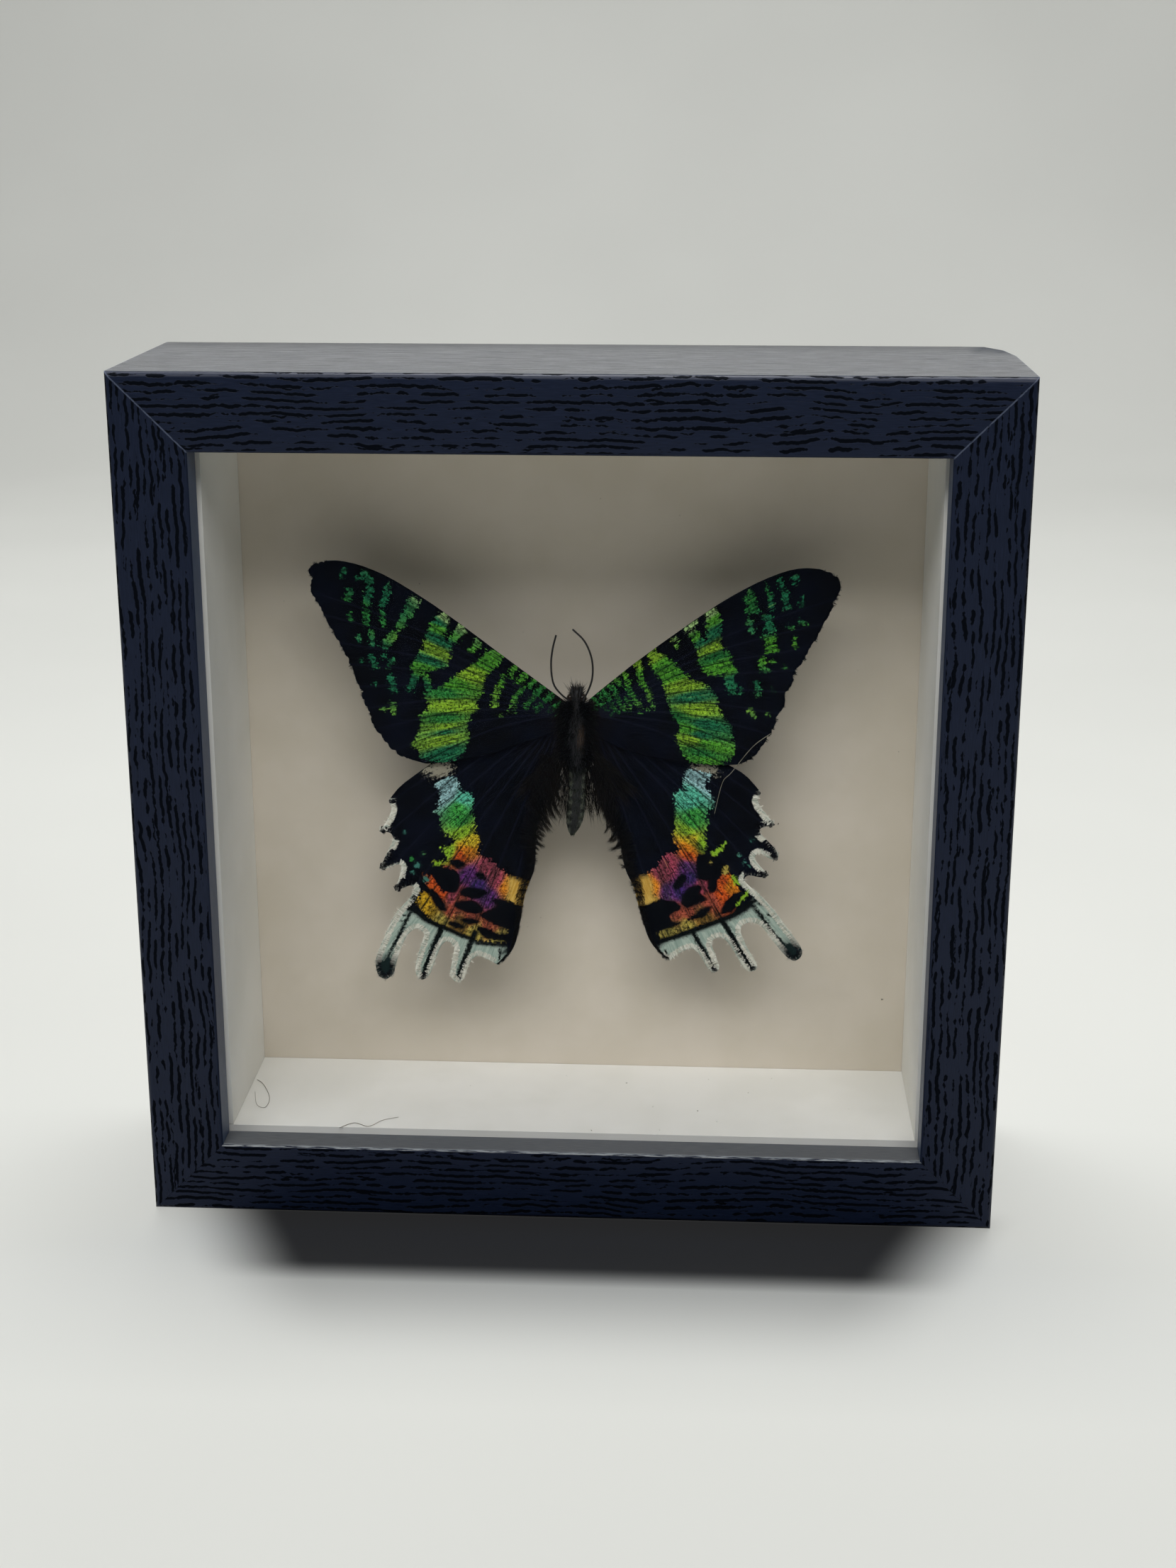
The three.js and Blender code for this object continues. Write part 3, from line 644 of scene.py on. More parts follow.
marks = {
    "foreleft": {
        "patches": [
            [(-13, 9.8), (-15.2, 10.5), (-17.3, 8.7), (-19.3, 7.2), (-21.8, 5.5), (-24.1, 3.8),
             (-26.7, 2.8), (-26.7, 1.7), (-26.1, 0.5), (-27.8, -1.7), (-27.9, -3.4), (-28.7, -5.9),
             (-29.5, -6.9), (-28.1, -7.8), (-27.7, -9.3), (-23.6, -10), (-21.2, -9.1), (-20, -7.6),
             (-19.3, -5), (-19.7, -3.7), (-18.8, -1.1), (-17.7, -0.3), (-18, 1), (-16.9, 2.8),
             (-16.3, 5.5), (-14.9, 7.2), (-14, 8)],
            [(-23.1, 17.2), (-24.2, 17), (-25.7, 15.1), (-26.4, 13.6), (-26.8, 11.6), (-28, 9.6),
             (-29.3, 7.1), (-26.3, 6.7), (-23.9, 7.6), (-22.8, 8.4), (-22.3, 10.9), (-22, 11.9),
             (-23.4, 12.7), (-23.1, 14.2), (-22.7, 16)],
            [(-29.5, 19.7), (-27.8, 19.4), (-28.5, 17.6), (-29.1, 16.5), (-30.3, 16.9), (-30.1, 18.2)],
        ],
        "dashes": [
            (1.04, [(-28.3, 6.4), (-29.5, 3.7)]), (0.92, [(-26.8, 5.5), (-26.2, 3.3)]),
            (0.92, [(-20.5, 14.8), (-19.9, 13.9)]), (1.29, [(-20.8, 13.8), (-21.9, 12.4)]),
            (0.86, [(-17.6, 12.1), (-17.3, 11.6)]), (0.8, [(-18, 11.1), (-18.6, 10.7)]),
            (0.31, [(-28.6, 20.1), (-27.5, 19.4)]), (1.22, [(-30.3, 16.5), (-31.2, 14.8)]),
            (1.29, [(-32.4, 13.3), (-33.7, 11.4)]), (1.16, [(-37, 24.2), (-36.3, 22.8)]),
            (0.61, [(-38.2, 23.6)]), (0.73, [(-40.7, 24.9), (-40.9, 24.2)]),
            (1.04, [(-39.8, 21.3), (-40.1, 20.1)]), (1.04, [(-36.1, 21.6), (-36.9, 19.4)]),
            (0.98, [(-33, 22.1)]), (0.98, [(-33.3, 20.9), (-33.9, 19.1)]),
            (0.92, [(-37, 17.7), (-37, 15.4)]), (0.61, [(-34.1, 17.5), (-34, 15.3)]),
            (0.43, [(-39.9, 17.1), (-39.7, 16)]), (0.67, [(-36.1, 14), (-36, 11.6)]),
            (0.43, [(-38.4, 13), (-38.4, 12.4)]), (0.73, [(-36.3, 9.4), (-35.6, 7.7)]),
            (0.67, [(-34, 9.6)]), (0.61, [(-32.5, 8.8), (-33.3, 7.9)]), (0.37, [(-38.1, 8.7)]),
            (0.86, [(-33.1, 5.6), (-32.4, 3.4)]), (0.55, [(-35.8, 4.6)]),
            (0.67, [(-32.8, 0.5), (-32.6, -0.8)]), (0.49, [(-34.3, -0.2)]),
            (0.67, [(-10.8, 7.5), (-11.6, 6.6)]), (0.8, [(-9.1, 6.1), (-10.2, 5)]),
            (0.43, [(-10.6, 4.7)]), (0.55, [(-7.6, 4.9), (-8.5, 3.8)]),
            (0.61, [(-6.1, 3.8), (-7.2, 2.6)]), (0.8, [(-4.5, 2.4), (-5.7, 1.2)]),
            (0.8, [(-2.7, 0.9), (-4.2, -0.2)]), (0.8, [(-13.3, 4.7), (-14.4, 2.2), (-14.7, 0.5)]),
            (0.37, [(-13, 5.8)]), (0.37, [(-11.7, 5.5)]),
            (0.67, [(-9.6, 3.5), (-10.8, 2.2), (-11.3, 0.5)]), (0.67, [(-7.6, 1.9), (-9, 0.5)]),
            (0.67, [(-6.3, 0.7), (-7.1, -0.1)]), (0.61, [(-2.5, -0.2), (-3.3, -1.2)]),
            (0.18, [(-13.5, -1.5)]), (0.21, [(-12.2, -0.4)]), (0.18, [(-11.1, -0.6)]),
            (0.18, [(-9, -0.2)]), (0.18, [(-5.1, -0.7)]),
        ],
        "dabs": {
            "leaf": [(-17.3, 8.7), (-22.5, 4.4), (-24.2, 14.5), (-26.6, 7.2), (-12, 5)],
            "lime": [(-18.5, 6.2), (-21.9, 0.5), (-23.5, -3.6), (-23.9, -5.8), (-25, 10.4)],
            "moss": [(-23.1, 2.7), (-23.2, -2.2), (-37, 17), (-7, 2.5), (-3.5, 0)],
            "teal": [(-23.5, -4.4), (-23.9, -8.3), (-24.6, 15.7), (-24.1, 12.4), (-26, 8.7), (-29.1, 4.4),
                (-34, 20), (-36, 10), (-33, 5)],
            "chalk": [(-23.1, 16.8)],
        },
        "veins": [(-46, 21), (-44.5, 17), (-42, 12), (-40, 8), (-38.5, 4), (-37, 0), (-36, -4), (-33, -8),
            (-28, -10.4)],
        "furReach": 9.0,
    },
    "foreright": {
        "patches": [
            [(12.8, 10.6), (13.7, 10.9), (14.7, 10.3), (16.9, 9), (18.2, 7.7), (20.6, 5.6), (22.4, 5.2),
             (24.5, 3.2), (25, 2), (25, 0.9), (26.5, -1.5), (27.4, -2.9), (27.9, -5.7), (28, -7.6),
             (26.2, -9.5), (21.4, -9.5), (19.9, -8.7), (18.3, -6), (18.1, -4.4), (18.7, -3.1),
             (17.2, -0.8), (16.9, 0.4), (16.1, 2.4), (15.5, 5.1), (13.7, 7.6), (12.9, 9.7)],
            [(20, 14), (21.2, 14.6), (21.8, 13.6), (22.4, 12.8), (23.3, 13.6), (23, 15.7), (23.2, 17.4),
             (24.5, 18), (25.4, 16.4), (25.3, 13.6), (25.6, 11.8), (27, 10.6), (27.3, 9.1), (28.4, 7.4),
             (26.8, 7.1), (24, 6.7), (21.9, 8.4), (21.5, 10.8), (20.6, 12.9)],
            [(29.5, 20.8), (31.2, 21), (31.4, 19.5), (32.2, 18.3), (29.8, 18.2), (30.1, 19.5)],
            [(32.8, 17.6), (34.2, 17.6), (34.4, 16.3), (34.9, 15), (33.3, 14.9), (33.4, 16.3)],
            [(32.6, 14), (35.1, 14), (34.6, 12.7), (35.6, 11.4), (33.2, 11.1), (33.5, 12.5)],
            [(32.5, 9.9), (33.2, 9.9), (33.3, 8.6), (34.2, 7.8), (32.6, 7.7)],
        ],
        "dashes": [
            (0.73, [(19.5, 14.9), (20.9, 16.1)]), (0.61, [(23.2, 17.7), (24.2, 18.3)]),
            (1.35, [(27.1, 6.4), (27.7, 4.1)]), (0.73, [(29.1, 4)]),
            (0.55, [(17.2, 13), (17.6, 12.9)]), (0.31, [(17.8, 11.8)]), (0.73, [(30.5, 21.8)]),
            (0.67, [(30.4, 16.8), (30.8, 15)]), (0.43, [(33.2, 23.3), (33.3, 22.4)]),
            (0.61, [(33.8, 21.5), (34.3, 19)]), (0.73, [(35.5, 24.1), (35.9, 22.9)]),
            (0.98, [(36.5, 21.7), (36.8, 19.5)]), (1.1, [(38.2, 24.5)]), (0.43, [(38, 23.6)]),
            (0.37, [(34.7, 9.5)]), (0.73, [(32, 5.4), (32.2, 3.4)]), (0.28, [(34.9, 4.3)]),
            (0.61, [(30.9, 0.5), (31.4, -0.6)]), (0.28, [(33.9, -0.2)]),
            (0.24, [(37.1, 16), (37.8, 15.6)]), (0.24, [(39.2, 16.7), (40.3, 16.3)]),
            (0.31, [(38.4, 13.5), (38.6, 12.1)]), (0.37, [(36.8, 8.4)]),
            (0.31, [(39.3, 19.7), (39.7, 20.8)]), (0.8, [(10.8, 8.7), (11.3, 7.2)]),
            (0.67, [(11.1, 6.6), (11.8, 4.7), (12.7, 3.5), (13.1, 2.1)]), (0.61, [(13.6, 0.8)]),
            (0.61, [(8.3, 6.7), (9.2, 5.3), (9.2, 3.7), (10.3, 2.2), (11.2, 0.9)]),
            (0.43, [(7, 5.5), (7.9, 4.6)]),
            (0.58, [(5.8, 4.4), (6.8, 3.7), (7.1, 2.5), (7.9, 0.9), (8.5, 0)]),
            (0.52, [(4.7, 3.5), (5.5, 2.4), (6.1, 1.2), (7, -0.3)]), (0.31, [(3.8, 2.7), (4.7, 1.8)]),
            (0.46, [(2.9, 1.9), (4.1, 0.7)]), (0.43, [(1.9, 1.2), (3.5, -0.1)]),
            (0.73, [(1.1, 0.3), (2.5, -1.3)]), (0.37, [(8.9, 1.9), (9.5, 0.7)]),
            (0.34, [(4.9, 0.8), (5.3, -0.1)]), (0.31, [(1.4, -2.1)]), (0.21, [(6.2, -1)]),
            (0.21, [(7.7, -0.5)]), (0.21, [(9.5, -0.3)]), (0.21, [(11.3, -0.5)]),
            (0.21, [(12.8, 0.1)]),
        ],
        "dabs": {
            "lime": [(13.7, 10), (19.4, 4.6), (21.2, 0.3), (20.7, -5.3), (24, 11.8)],
            "leaf": [(15.5, 8.2), (17.6, 6.7), (20.1, -3.4), (23.1, -6), (23.8, -9.3), (21, 13.5),
                (24.3, 16.7), (25.3, 8.2), (34.1, 12), (11.5, 6)],
            "teal": [(20.3, 2.5), (22.8, -2.4), (21.9, -4.3), (22.8, 13), (24.3, 14.5), (27.4, 5.1),
                (34, 16.3), (36.5, 20.5), (38.2, 24.5)],
            "moss": [(18.3, -1.1), (22.5, -7.7), (24.4, 10), (30.4, 19.8), (6.5, 2.5), (2.5, -0.5)],
            "chalk": [(20.3, 15.5), (23.6, 18)],
        },
        "veins": [(45.5, 21), (43.5, 16.5), (41, 12), (39, 8), (38, 4), (36, 0), (35, -4), (32.5, -7.5),
            (27, -10)],
        "furReach": 9.0,
    },
    "hindleft": {
        "cream": [(-12.3, -32.8), (-10.9, -33.2), (-8.9, -33.9), (-9.3, -36.1), (-9.9, -38.2),
            (-11.3, -38.1), (-12.6, -36.8), (-12.3, -35)],
        "smoke": [(-27.5, -11.9), (-26.5, -10.9), (-23.4, -10.7), (-22.8, -12), (-24.5, -13.2),
            (-26, -12.7)],
        "pale": [(-31.7, -38.6), (-30.6, -39), (-27.9, -40.9), (-25, -42.4), (-23, -43.3), (-19.9, -44.4),
            (-18.4, -45.3), (-13.6, -46), (-14, -47.3), (-12.4, -47.8), (-13.7, -50.7), (-21.6, -54.1),
            (-38.4, -54.1), (-38.2, -45.1), (-33.4, -39)],
        "inner": [(-14.4, -49.3), (-12.7, -47.6), (-11.5, -45.5), (-10.8, -42.8), (-10, -38.2),
            (-9.5, -35.6), (-8.9, -33.8), (-7.7, -30.2), (-7.4, -23.8), (-6.2, -18.4), (-4.9, -12.2),
            (-3.6, -8.9)],
        "blots": {
            "crumb": [(-23.2, -29.1), (-21.2, -29), (-20.3, -29.8), (-21.5, -30.7), (-22.7, -30.2)],
            "cellSpot": [(-25.6, -30.5), (-23.8, -30.2), (-22.2, -31.1), (-21.4, -32.9), (-22, -35.1),
                (-23.3, -35.1), (-24.9, -34), (-26, -32.6)],
            "pupil": [(-18.6, -31.6), (-17.5, -31.3), (-16.6, -32.6), (-17.5, -32.8), (-18.2, -32.3)],
            "lens": [(-21.5, -34.8), (-19.7, -34.3), (-17.6, -34.6), (-16.5, -35.2), (-17.7, -36.3),
                (-19.7, -36.3), (-21.3, -35.6)],
            "leaf": [(-22.6, -37.6), (-21.3, -36.9), (-19, -37), (-17.4, -38.1), (-17.7, -39.2),
                (-19.8, -39.3), (-21.8, -38.5)],
            "bar": [(-21.5, -40.6), (-20.3, -40.2), (-18, -40.7), (-18.8, -41.4), (-20.6, -41.3)],
            "smallBar": [(-23.7, -41.2), (-22.4, -41), (-20.6, -41.9), (-21.4, -42.4), (-23, -42)],
            "corner": [(-15.7, -36.7), (-14, -36.5), (-12.2, -37), (-10.1, -38.1), (-10.2, -40.8),
                (-12.3, -42.2), (-14.1, -42), (-16.1, -40.9), (-17.7, -39.9), (-17.2, -39.1),
                (-14.8, -37.8)],
            "slash": [(-28, -34.8), (-26.5, -34.7), (-24.9, -36.3), (-23.9, -38.7), (-25, -38.7),
                (-26.1, -37.6), (-26.7, -36.2)],
            "hem": [(-18.3, -42), (-16.2, -42.4), (-14.6, -43.4), (-12.3, -43.5), (-11.5, -45),
                (-13.6, -44.7), (-16.7, -44.2), (-17.7, -43.4)],
        },
        "dark": [
            (0.7, [(-30.7, -39.2), (-31.8, -41.8), (-33.5, -45.1), (-34.9, -47.9), (-35.7, -49.6)]),
            (1.13, [(-24.9, -42), (-26.1, -45.1), (-27.3, -47.9), (-28.6, -52.1)]),
            (1.03, [(-18.8, -43.1), (-19.6, -45.1), (-20.7, -47.9), (-22, -52)]),
            (0.49, [(-14.2, -46.4), (-14.3, -48.3)]),
            (0.77, [(-31, -38.4), (-29.2, -39.2), (-27.9, -40.6), (-25, -42), (-23, -42.8),
                    (-21.4, -43.7), (-19.6, -44.2)]),
            (0.51, [(-18.6, -45.2), (-16.7, -45.4), (-13.6, -45.7)]), (3.79, [(-35.6, -50.5)]),
            (1.61, [(-35, -48.8)]), (0.31, [(-32, -39.7), (-31.5, -39.9)]),
            (0.31, [(-32.6, -40.9), (-32.2, -40.9)]), (0.34, [(-30.4, -36.3), (-29.7, -35.9)]),
            (0.34, [(-31.5, -38.4), (-30.7, -38.1)]), (0.28, [(-30.4, -37.3), (-29.9, -37)]),
        ],
        "fringeTop": -17.0,
        "tailTop": -37.5,
        "patches": [
            [(-25.5, -14.7), (-24.5, -14), (-23, -13.2), (-21.7, -13.7), (-21.1, -15.9), (-19.3, -16.3),
             (-18.9, -17.9), (-19.1, -19.1), (-18.6, -21.9), (-18.6, -23.6), (-17.8, -24.9),
             (-18.2, -27.6), (-17.3, -28.5), (-16, -28.9), (-14.7, -30.2), (-13.4, -31.3), (-12.3, -33),
             (-12.2, -35), (-12.7, -36.7), (-12.8, -42.5), (-13.5, -45), (-16.2, -44.8), (-19.9, -44.1),
             (-24, -42.3), (-26.6, -40.5), (-28.6, -38.5), (-29.2, -37.3), (-28.3, -35.4), (-27, -34.3),
             (-28.2, -32.5), (-27.2, -31.9), (-25.9, -32.9), (-24.9, -34.8), (-22.8, -35.1), (-21.5, -32),
             (-23.8, -30.1), (-25.7, -30), (-26, -29.3), (-24.8, -29.4), (-23.6, -28.9), (-24.6, -26.7),
             (-23.2, -26.2), (-22.3, -25.5), (-22.6, -24.4), (-24.3, -23.2), (-24.9, -20.3),
             (-25.8, -19.8), (-25, -18.7), (-24.7, -16.1)],
        ],
        "dashes": [
            (0.98, [(-29.1, -30)]), (0.57, [(-30, -31.2)]), (0.46, [(-30.1, -28.8)]),
            (0.28, [(-27.9, -27.8)]), (0.3, [(-31.4, -23.5)]), (1.13, [(-27.6, -32.7)]),
            (0.67, [(-25.3, -29.7), (-25.8, -29.7)]), (0.18, [(-24.4, -30.2), (-22.7, -30.4)]),
        ],
        "dabs": {
            "ice": [(-23.5, -14.9), (-23.5, -16.5)],
            "mint": [(-20.5, -17.3)],
            "green": [(-21.5, -19), (-21, -21.4)],
            "lime": [(-20.6, -23.6), (-23.5, -27.4)],
            "yellow": [(-19.6, -25.5)],
            "orange": [(-20.1, -27.1), (-12.9, -33.9)],
            "ember": [(-21.2, -28.2), (-26.4, -33.1), (-24.9, -35.6)],
            "rose": [(-16.5, -30.1), (-22.6, -35.9), (-14.5, -32.8)],
            "plum": [(-19.9, -31.8), (-16.1, -36.1)],
            "violet": [(-18.1, -34.2)],
            "gold": [(-28.1, -36.7), (-27.3, -38.7)],
            "brick": [(-21.8, -36.4), (-23.4, -38.9), (-19.3, -39.8), (-16.2, -41.7)],
            "brown": [(-21.4, -41.7)],
            "olive": [(-25, -40.6), (-18.8, -43.1), (-14.6, -44.9)],
        },
        "spotDabs": {
            "slate": [(-29.1, -30), (-30, -31.2), (-27.6, -32.7), (-31, -22)],
            "moss": [(-30.1, -28.8)],
            "lime": [(-25.5, -29.7)],
            "brick": [(-23.5, -30.3)],
        },
        "veins": [(-34, -18), (-34.5, -24), (-34.5, -31), (-31, -36), (-35.5, -50), (-28.8, -51),
            (-22.3, -52), (-15, -48)],
        "furReach": 16.0,
    },
    "hindright": {
        "cream": [(10.1, -33.5), (12.8, -31.9), (13.6, -33.4), (13.8, -35.5), (14.5, -35.9), (13.1, -37),
            (11.6, -37.8), (10.8, -36.1)],
        "smoke": [(21.1, -10.8), (22.4, -10.1), (24.6, -10.6), (25, -11.5), (23.8, -11.8), (22.2, -11.5)],
        "pale": [(16.3, -44.4), (20.5, -42.8), (25.9, -40.4), (29.6, -38.9), (32, -36.9), (32.9, -35.7),
            (40.4, -41.9), (42.7, -47.9), (28.8, -51.9), (14.6, -48.4)],
        "inner": [(2.4, -11.3), (3.9, -16.8), (7.4, -23.5), (8.7, -29.9), (10.4, -33.9), (11.4, -37.8),
            (12.2, -40.5), (13.2, -43.6), (14.9, -46.1), (16.7, -47.3)],
        "blots": {
            "shoulder": [(22, -27.4), (24, -27.4), (26.4, -27.8), (27.4, -29.2), (26.5, -30.4),
                (25.2, -32), (23, -31.9), (22.1, -31.1)],
            "pupil": [(17.7, -33.3), (18.7, -31.2), (19.8, -31), (19.9, -32), (19, -33.5), (18.1, -34)],
            "lens": [(19.2, -35.8), (19.8, -34.3), (21.4, -33.1), (22.8, -33.2), (22.5, -34.5),
                (23.9, -35.6), (22.3, -36.4), (20.4, -37.5), (19.2, -36.8)],
            "drop": [(24, -31.9), (24.9, -32.1), (25.7, -33), (25.2, -34.1), (24.1, -34.3)],
            "corner": [(11.2, -37.8), (13.1, -36.9), (15, -36.2), (16.6, -36.2), (18.2, -36.5),
                (19.2, -37.5), (17.7, -38.4), (16.9, -39.2), (17.5, -40.2), (19.2, -40.4), (16.7, -41.6),
                (15.1, -42), (13.2, -41.8), (12.1, -39.8)],
            "leaf": [(20.4, -39.8), (22, -38.3), (23.1, -37.4), (24.7, -36.9), (23.9, -38.5),
                (22.9, -39.2)],
            "slash": [(26.4, -38.1), (27.3, -35.8), (29, -34.9), (29.7, -35.2), (29, -36.6),
                (28.5, -37.8), (27.2, -38.2)],
        },
        "dark": [
            (0.73, [(32, -36.5), (33.9, -38.7), (35.6, -41.2), (37.5, -43.4), (39.1, -45.1)]),
            (1.12, [(26.5, -39.4), (28.3, -42.3), (30, -45.5), (32.3, -48.7)]),
            (0.96, [(21.2, -42), (22.7, -44.6), (24.1, -47.1), (25.5, -49.5)]),
            (0.51, [(16.3, -46), (16.6, -47)]),
            (0.8, [(15.6, -44.1), (17.8, -43.3), (20.5, -42.2), (23.2, -41.1), (25.8, -39.8),
                    (28.5, -38.6), (30.6, -37.1), (32.5, -35.6)]),
            (3.48, [(40, -45.8)]), (1.67, [(38.9, -44.5)]), (0.47, [(34.9, -38.2), (35.5, -38.5)]),
            (0.35, [(32.2, -35.9), (32.8, -36.4)]), (0.27, [(35.1, -39.2)]),
            (0.29, [(33.3, -36.1), (33.8, -36.4)]),
        ],
        "fringeTop": -14.5,
        "tailTop": -37.5,
        "patches": [
            [(19.8, -11.5), (21.1, -11.4), (24, -11.8), (23.9, -12.5), (22.8, -14.2), (24.1, -15.7),
             (24.7, -17.8), (23.4, -19.1), (23.7, -21.4), (23.1, -22.6), (23.4, -25.7), (23, -27.2),
             (22, -27.8), (22.1, -31.4), (24.5, -31.7), (25.2, -33), (26.1, -31.4), (26.9, -30.5),
             (28.4, -31.2), (29.5, -33.5), (27.9, -35.3), (28.8, -37.7), (26.4, -39.4), (21.5, -41.2),
             (16.2, -43.6), (15.2, -43.1), (15.3, -42.2), (17.2, -40.2), (16.8, -39), (17.7, -38.1),
             (16.6, -36.4), (13.6, -34.8), (13.1, -31.3), (14.9, -29.6), (16.5, -27.2), (18.7, -26.8),
             (17.7, -24.2), (17.9, -22.3), (18, -18.3), (17.6, -16.6), (18.5, -15.2), (19.9, -14.9),
             (19.3, -13.8)],
        ],
        "dashes": [
            (0.75, [(24.8, -26.9), (26.1, -25.9)]), (0.24, [(26.5, -25.3), (27.1, -24.6)]),
            (0.75, [(27.2, -29.4), (27, -30.4)]), (0.54, [(29.5, -27)]), (0.48, [(30.5, -28.3)]),
            (0.35, [(31.3, -28.9)]), (0.35, [(31.7, -24)]), (0.32, [(24.3, -28.5)]),
            (0.7, [(28.5, -31.2), (29.3, -32.4)]), (0.43, [(29.5, -36.4), (31.1, -34.2)]),
            (0.37, [(31.2, -33.9), (30.6, -34.8)]),
        ],
        "dabs": {
            "ice": [(21.7, -12.6), (22.8, -13.9)],
            "mint": [(21.2, -15.7), (20.2, -17.4)],
            "green": [(21.2, -19.3), (20.7, -21)],
            "lime": [(20.2, -22.7), (22.9, -25.1)],
            "yellow": [(20.8, -24.4)],
            "orange": [(20.3, -26.1), (28, -32.9), (13.9, -33.4)],
            "ember": [(20.3, -27.2), (26.8, -32.1), (26.3, -34.7)],
            "rose": [(16.8, -28.7), (15.5, -31.1), (23, -32.8)],
            "plum": [(20.3, -29.5), (16.6, -34.4)],
            "violet": [(18.8, -34.4), (20.9, -31.4)],
            "brick": [(24.7, -35.6), (20.4, -38.6), (18.3, -38.4)],
            "brown": [(23.1, -39.7)],
            "olive": [(20.5, -40.8), (16.7, -42.5)],
        },
        "spotDabs": {
            "lime": [(25.4, -26.4), (28.9, -31.8), (30.4, -35.3)],
            "olive": [(27.1, -30), (24.3, -28.5)],
            "slate": [(30.5, -28), (31.5, -24)],
        },
        "veins": [(33, -16), (34.5, -21.5), (34.5, -27), (33.5, -31), (40, -45.5), (32, -49), (25.3, -49),
            (17, -47)],
        "furReach": 16.0,
    },
}


def outlineOf(nodeName):
    # the loop round the front of a CAD wing, seen from the front, in millimetres
    mesh = frame["nodes"][nodeName].data
    places = np.array([vertex.co for vertex in mesh.vertices]) / mm
    frontEdges = {}
    for face in mesh.polygons:
        if face.normal.y < -0.7:
            for a, b in face.edge_keys:
                keys = [tuple(np.round(places[i], 3)) for i in (a, b)]
                edge = tuple(sorted(keys))
                frontEdges[edge] = frontEdges.get(edge, 0) + 1
    links = {}
    for (a, b), uses in frontEdges.items():
        if uses == 1:
            links.setdefault(a, []).append(b)
            links.setdefault(b, []).append(a)
    start = min(links, key=lambda key: abs(key[0]))
    loop, previous = [start], None
    while True:
        onward = [key for key in links[loop[-1]] if key != previous]
        previous = loop[-1]
        if not onward or onward[0] == start:
            break
        loop.append(onward[0])
    return np.array([(x, z - wings["shoulder"]) for x, _, z in loop])


def resampled(loop, spacing, closed=True):
    loop = np.vstack([loop, loop[:1]]) if closed else np.asarray(loop, dtype=float)
    steps = np.linalg.norm(np.diff(loop, axis=0), axis=1)
    reach = np.concatenate([[0.0], np.cumsum(steps)])
    count = max(int(reach[-1] / spacing), 4)
    wanted = np.linspace(0, reach[-1], count, endpoint=not closed)
    return np.column_stack([np.interp(wanted, reach, loop[:, k]) for k in (0, 1)])


def wingPlace(flat, middle):
    # from the wing's plane to the frame: the tips rise toward the glass
    x, z = flat[:, 0], flat[:, 1]
    angle = np.arctan2(z, np.abs(x) + 1e-6)
    reach = np.hypot(x, z)
    pleat = 0.10 * np.sin(angle * 34 + 0.4) * np.clip(reach / 30, 0, 1)
    cup = 0.12 * np.sin(reach / 9.0)
    y = middle - wings["rise"] * np.abs(x) + pleat + cup
    return np.column_stack([x, y, z + wings["shoulder"]])


def membraneOutline(loop, inner):
    # the hair on the inner margin stands beyond the membrane
    if inner is None:
        return loop
    inner = rounded(inner, closed=False)
    first = int(np.argmin(np.linalg.norm(loop - inner[0], axis=1)))
    last = int(np.argmin(np.linalg.norm(loop - inner[-1], axis=1)))
    wayUp = [(first + k) % len(loop) for k in range((last - first) % len(loop) + 1)]
    wayDown = [(first - k) % len(loop) for k in range((first - last) % len(loop) + 1)]
    shorter = min((wayUp, wayDown), key=len)
    removed = set(shorter)
    kept = [i for i in range(len(loop)) if i not in removed]
    turn = next(k for k in range(len(kept)) if (kept[k] - kept[k - 1]) % len(loop) != 1)
    kept = kept[turn:] + kept[:turn]
    rest = loop[kept]
    if np.linalg.norm(rest[-1] - inner[0]) > np.linalg.norm(rest[-1] - inner[-1]):
        inner = inner[::-1]
    return np.vstack([rest, inner])


def filledMesh(loop, spacing):
    # a fine triangle mesh inside an outline
    low, high = loop.min(axis=0), loop.max(axis=0)
    rows = []
    for k, z in enumerate(np.arange(low[1], high[1], spacing * 0.866)):
        xs = np.arange(low[0] + (k % 2) * spacing / 2, high[0], spacing)
        rows.append(np.column_stack([xs, np.full(len(xs), z)]))
    grid = np.vstack(rows)
    grid = grid[depthIn(grid, loop) > spacing * 0.45]
    places = [Vector(p) for p in np.vstack([loop, grid])]
    result = geometry.delaunay_2d_cdt(places, [], [list(range(len(loop)))], 1, 1e-6)
    return np.array([tuple(v) for v in result[0]]), [tuple(face) for face in result[2]]


def blendedTints(flat, dabs, side, along):
    # each dab colours what is near it, further along the veins than across
    total = np.zeros((len(flat), 3))
    weights = np.zeros(len(flat))
    reach = np.hypot(flat[:, 0], flat[:, 1])
    angle = np.arctan2(flat[:, 1], flat[:, 0] * side)
    for name, places in dabs.items():
        for x, z in places:
            acrossRay = (angle - math.atan2(z, x * side)) * reach
            alongRay = (reach - math.hypot(x, z)) * along
            weight = 1 / (np.hypot(acrossRay, alongRay) + 0.2) ** 5
            total += weight[:, None] * np.array(linear(tints[name])[:3])
            weights += weight
    return total / weights[:, None]


def wingNoise(tree):
    # streaks run out from the shoulder along the veins; the grain is the single scales
    ray = attribute(tree, "ray", "Vector")
    flat = attribute(tree, "flat", "Vector")
    streak = noise(tree, stretched(tree, ray, (30.0, 0.16, 1.0)), 1.0, 4.0, 0.65)
    broad = noise(tree, stretched(tree, ray, (9.0, 0.10, 1.0)), 1.0, 2.0, 0.5)
    grain = noise(tree, stretched(tree, flat, (1.9, 1.0, 1.9)), 1.0, 3.0, 0.85)
    wide = noise(tree, stretched(tree, flat, (0.12, 1.0, 0.12)), 1.0, 3.0)
    return streak, broad, grain, wide


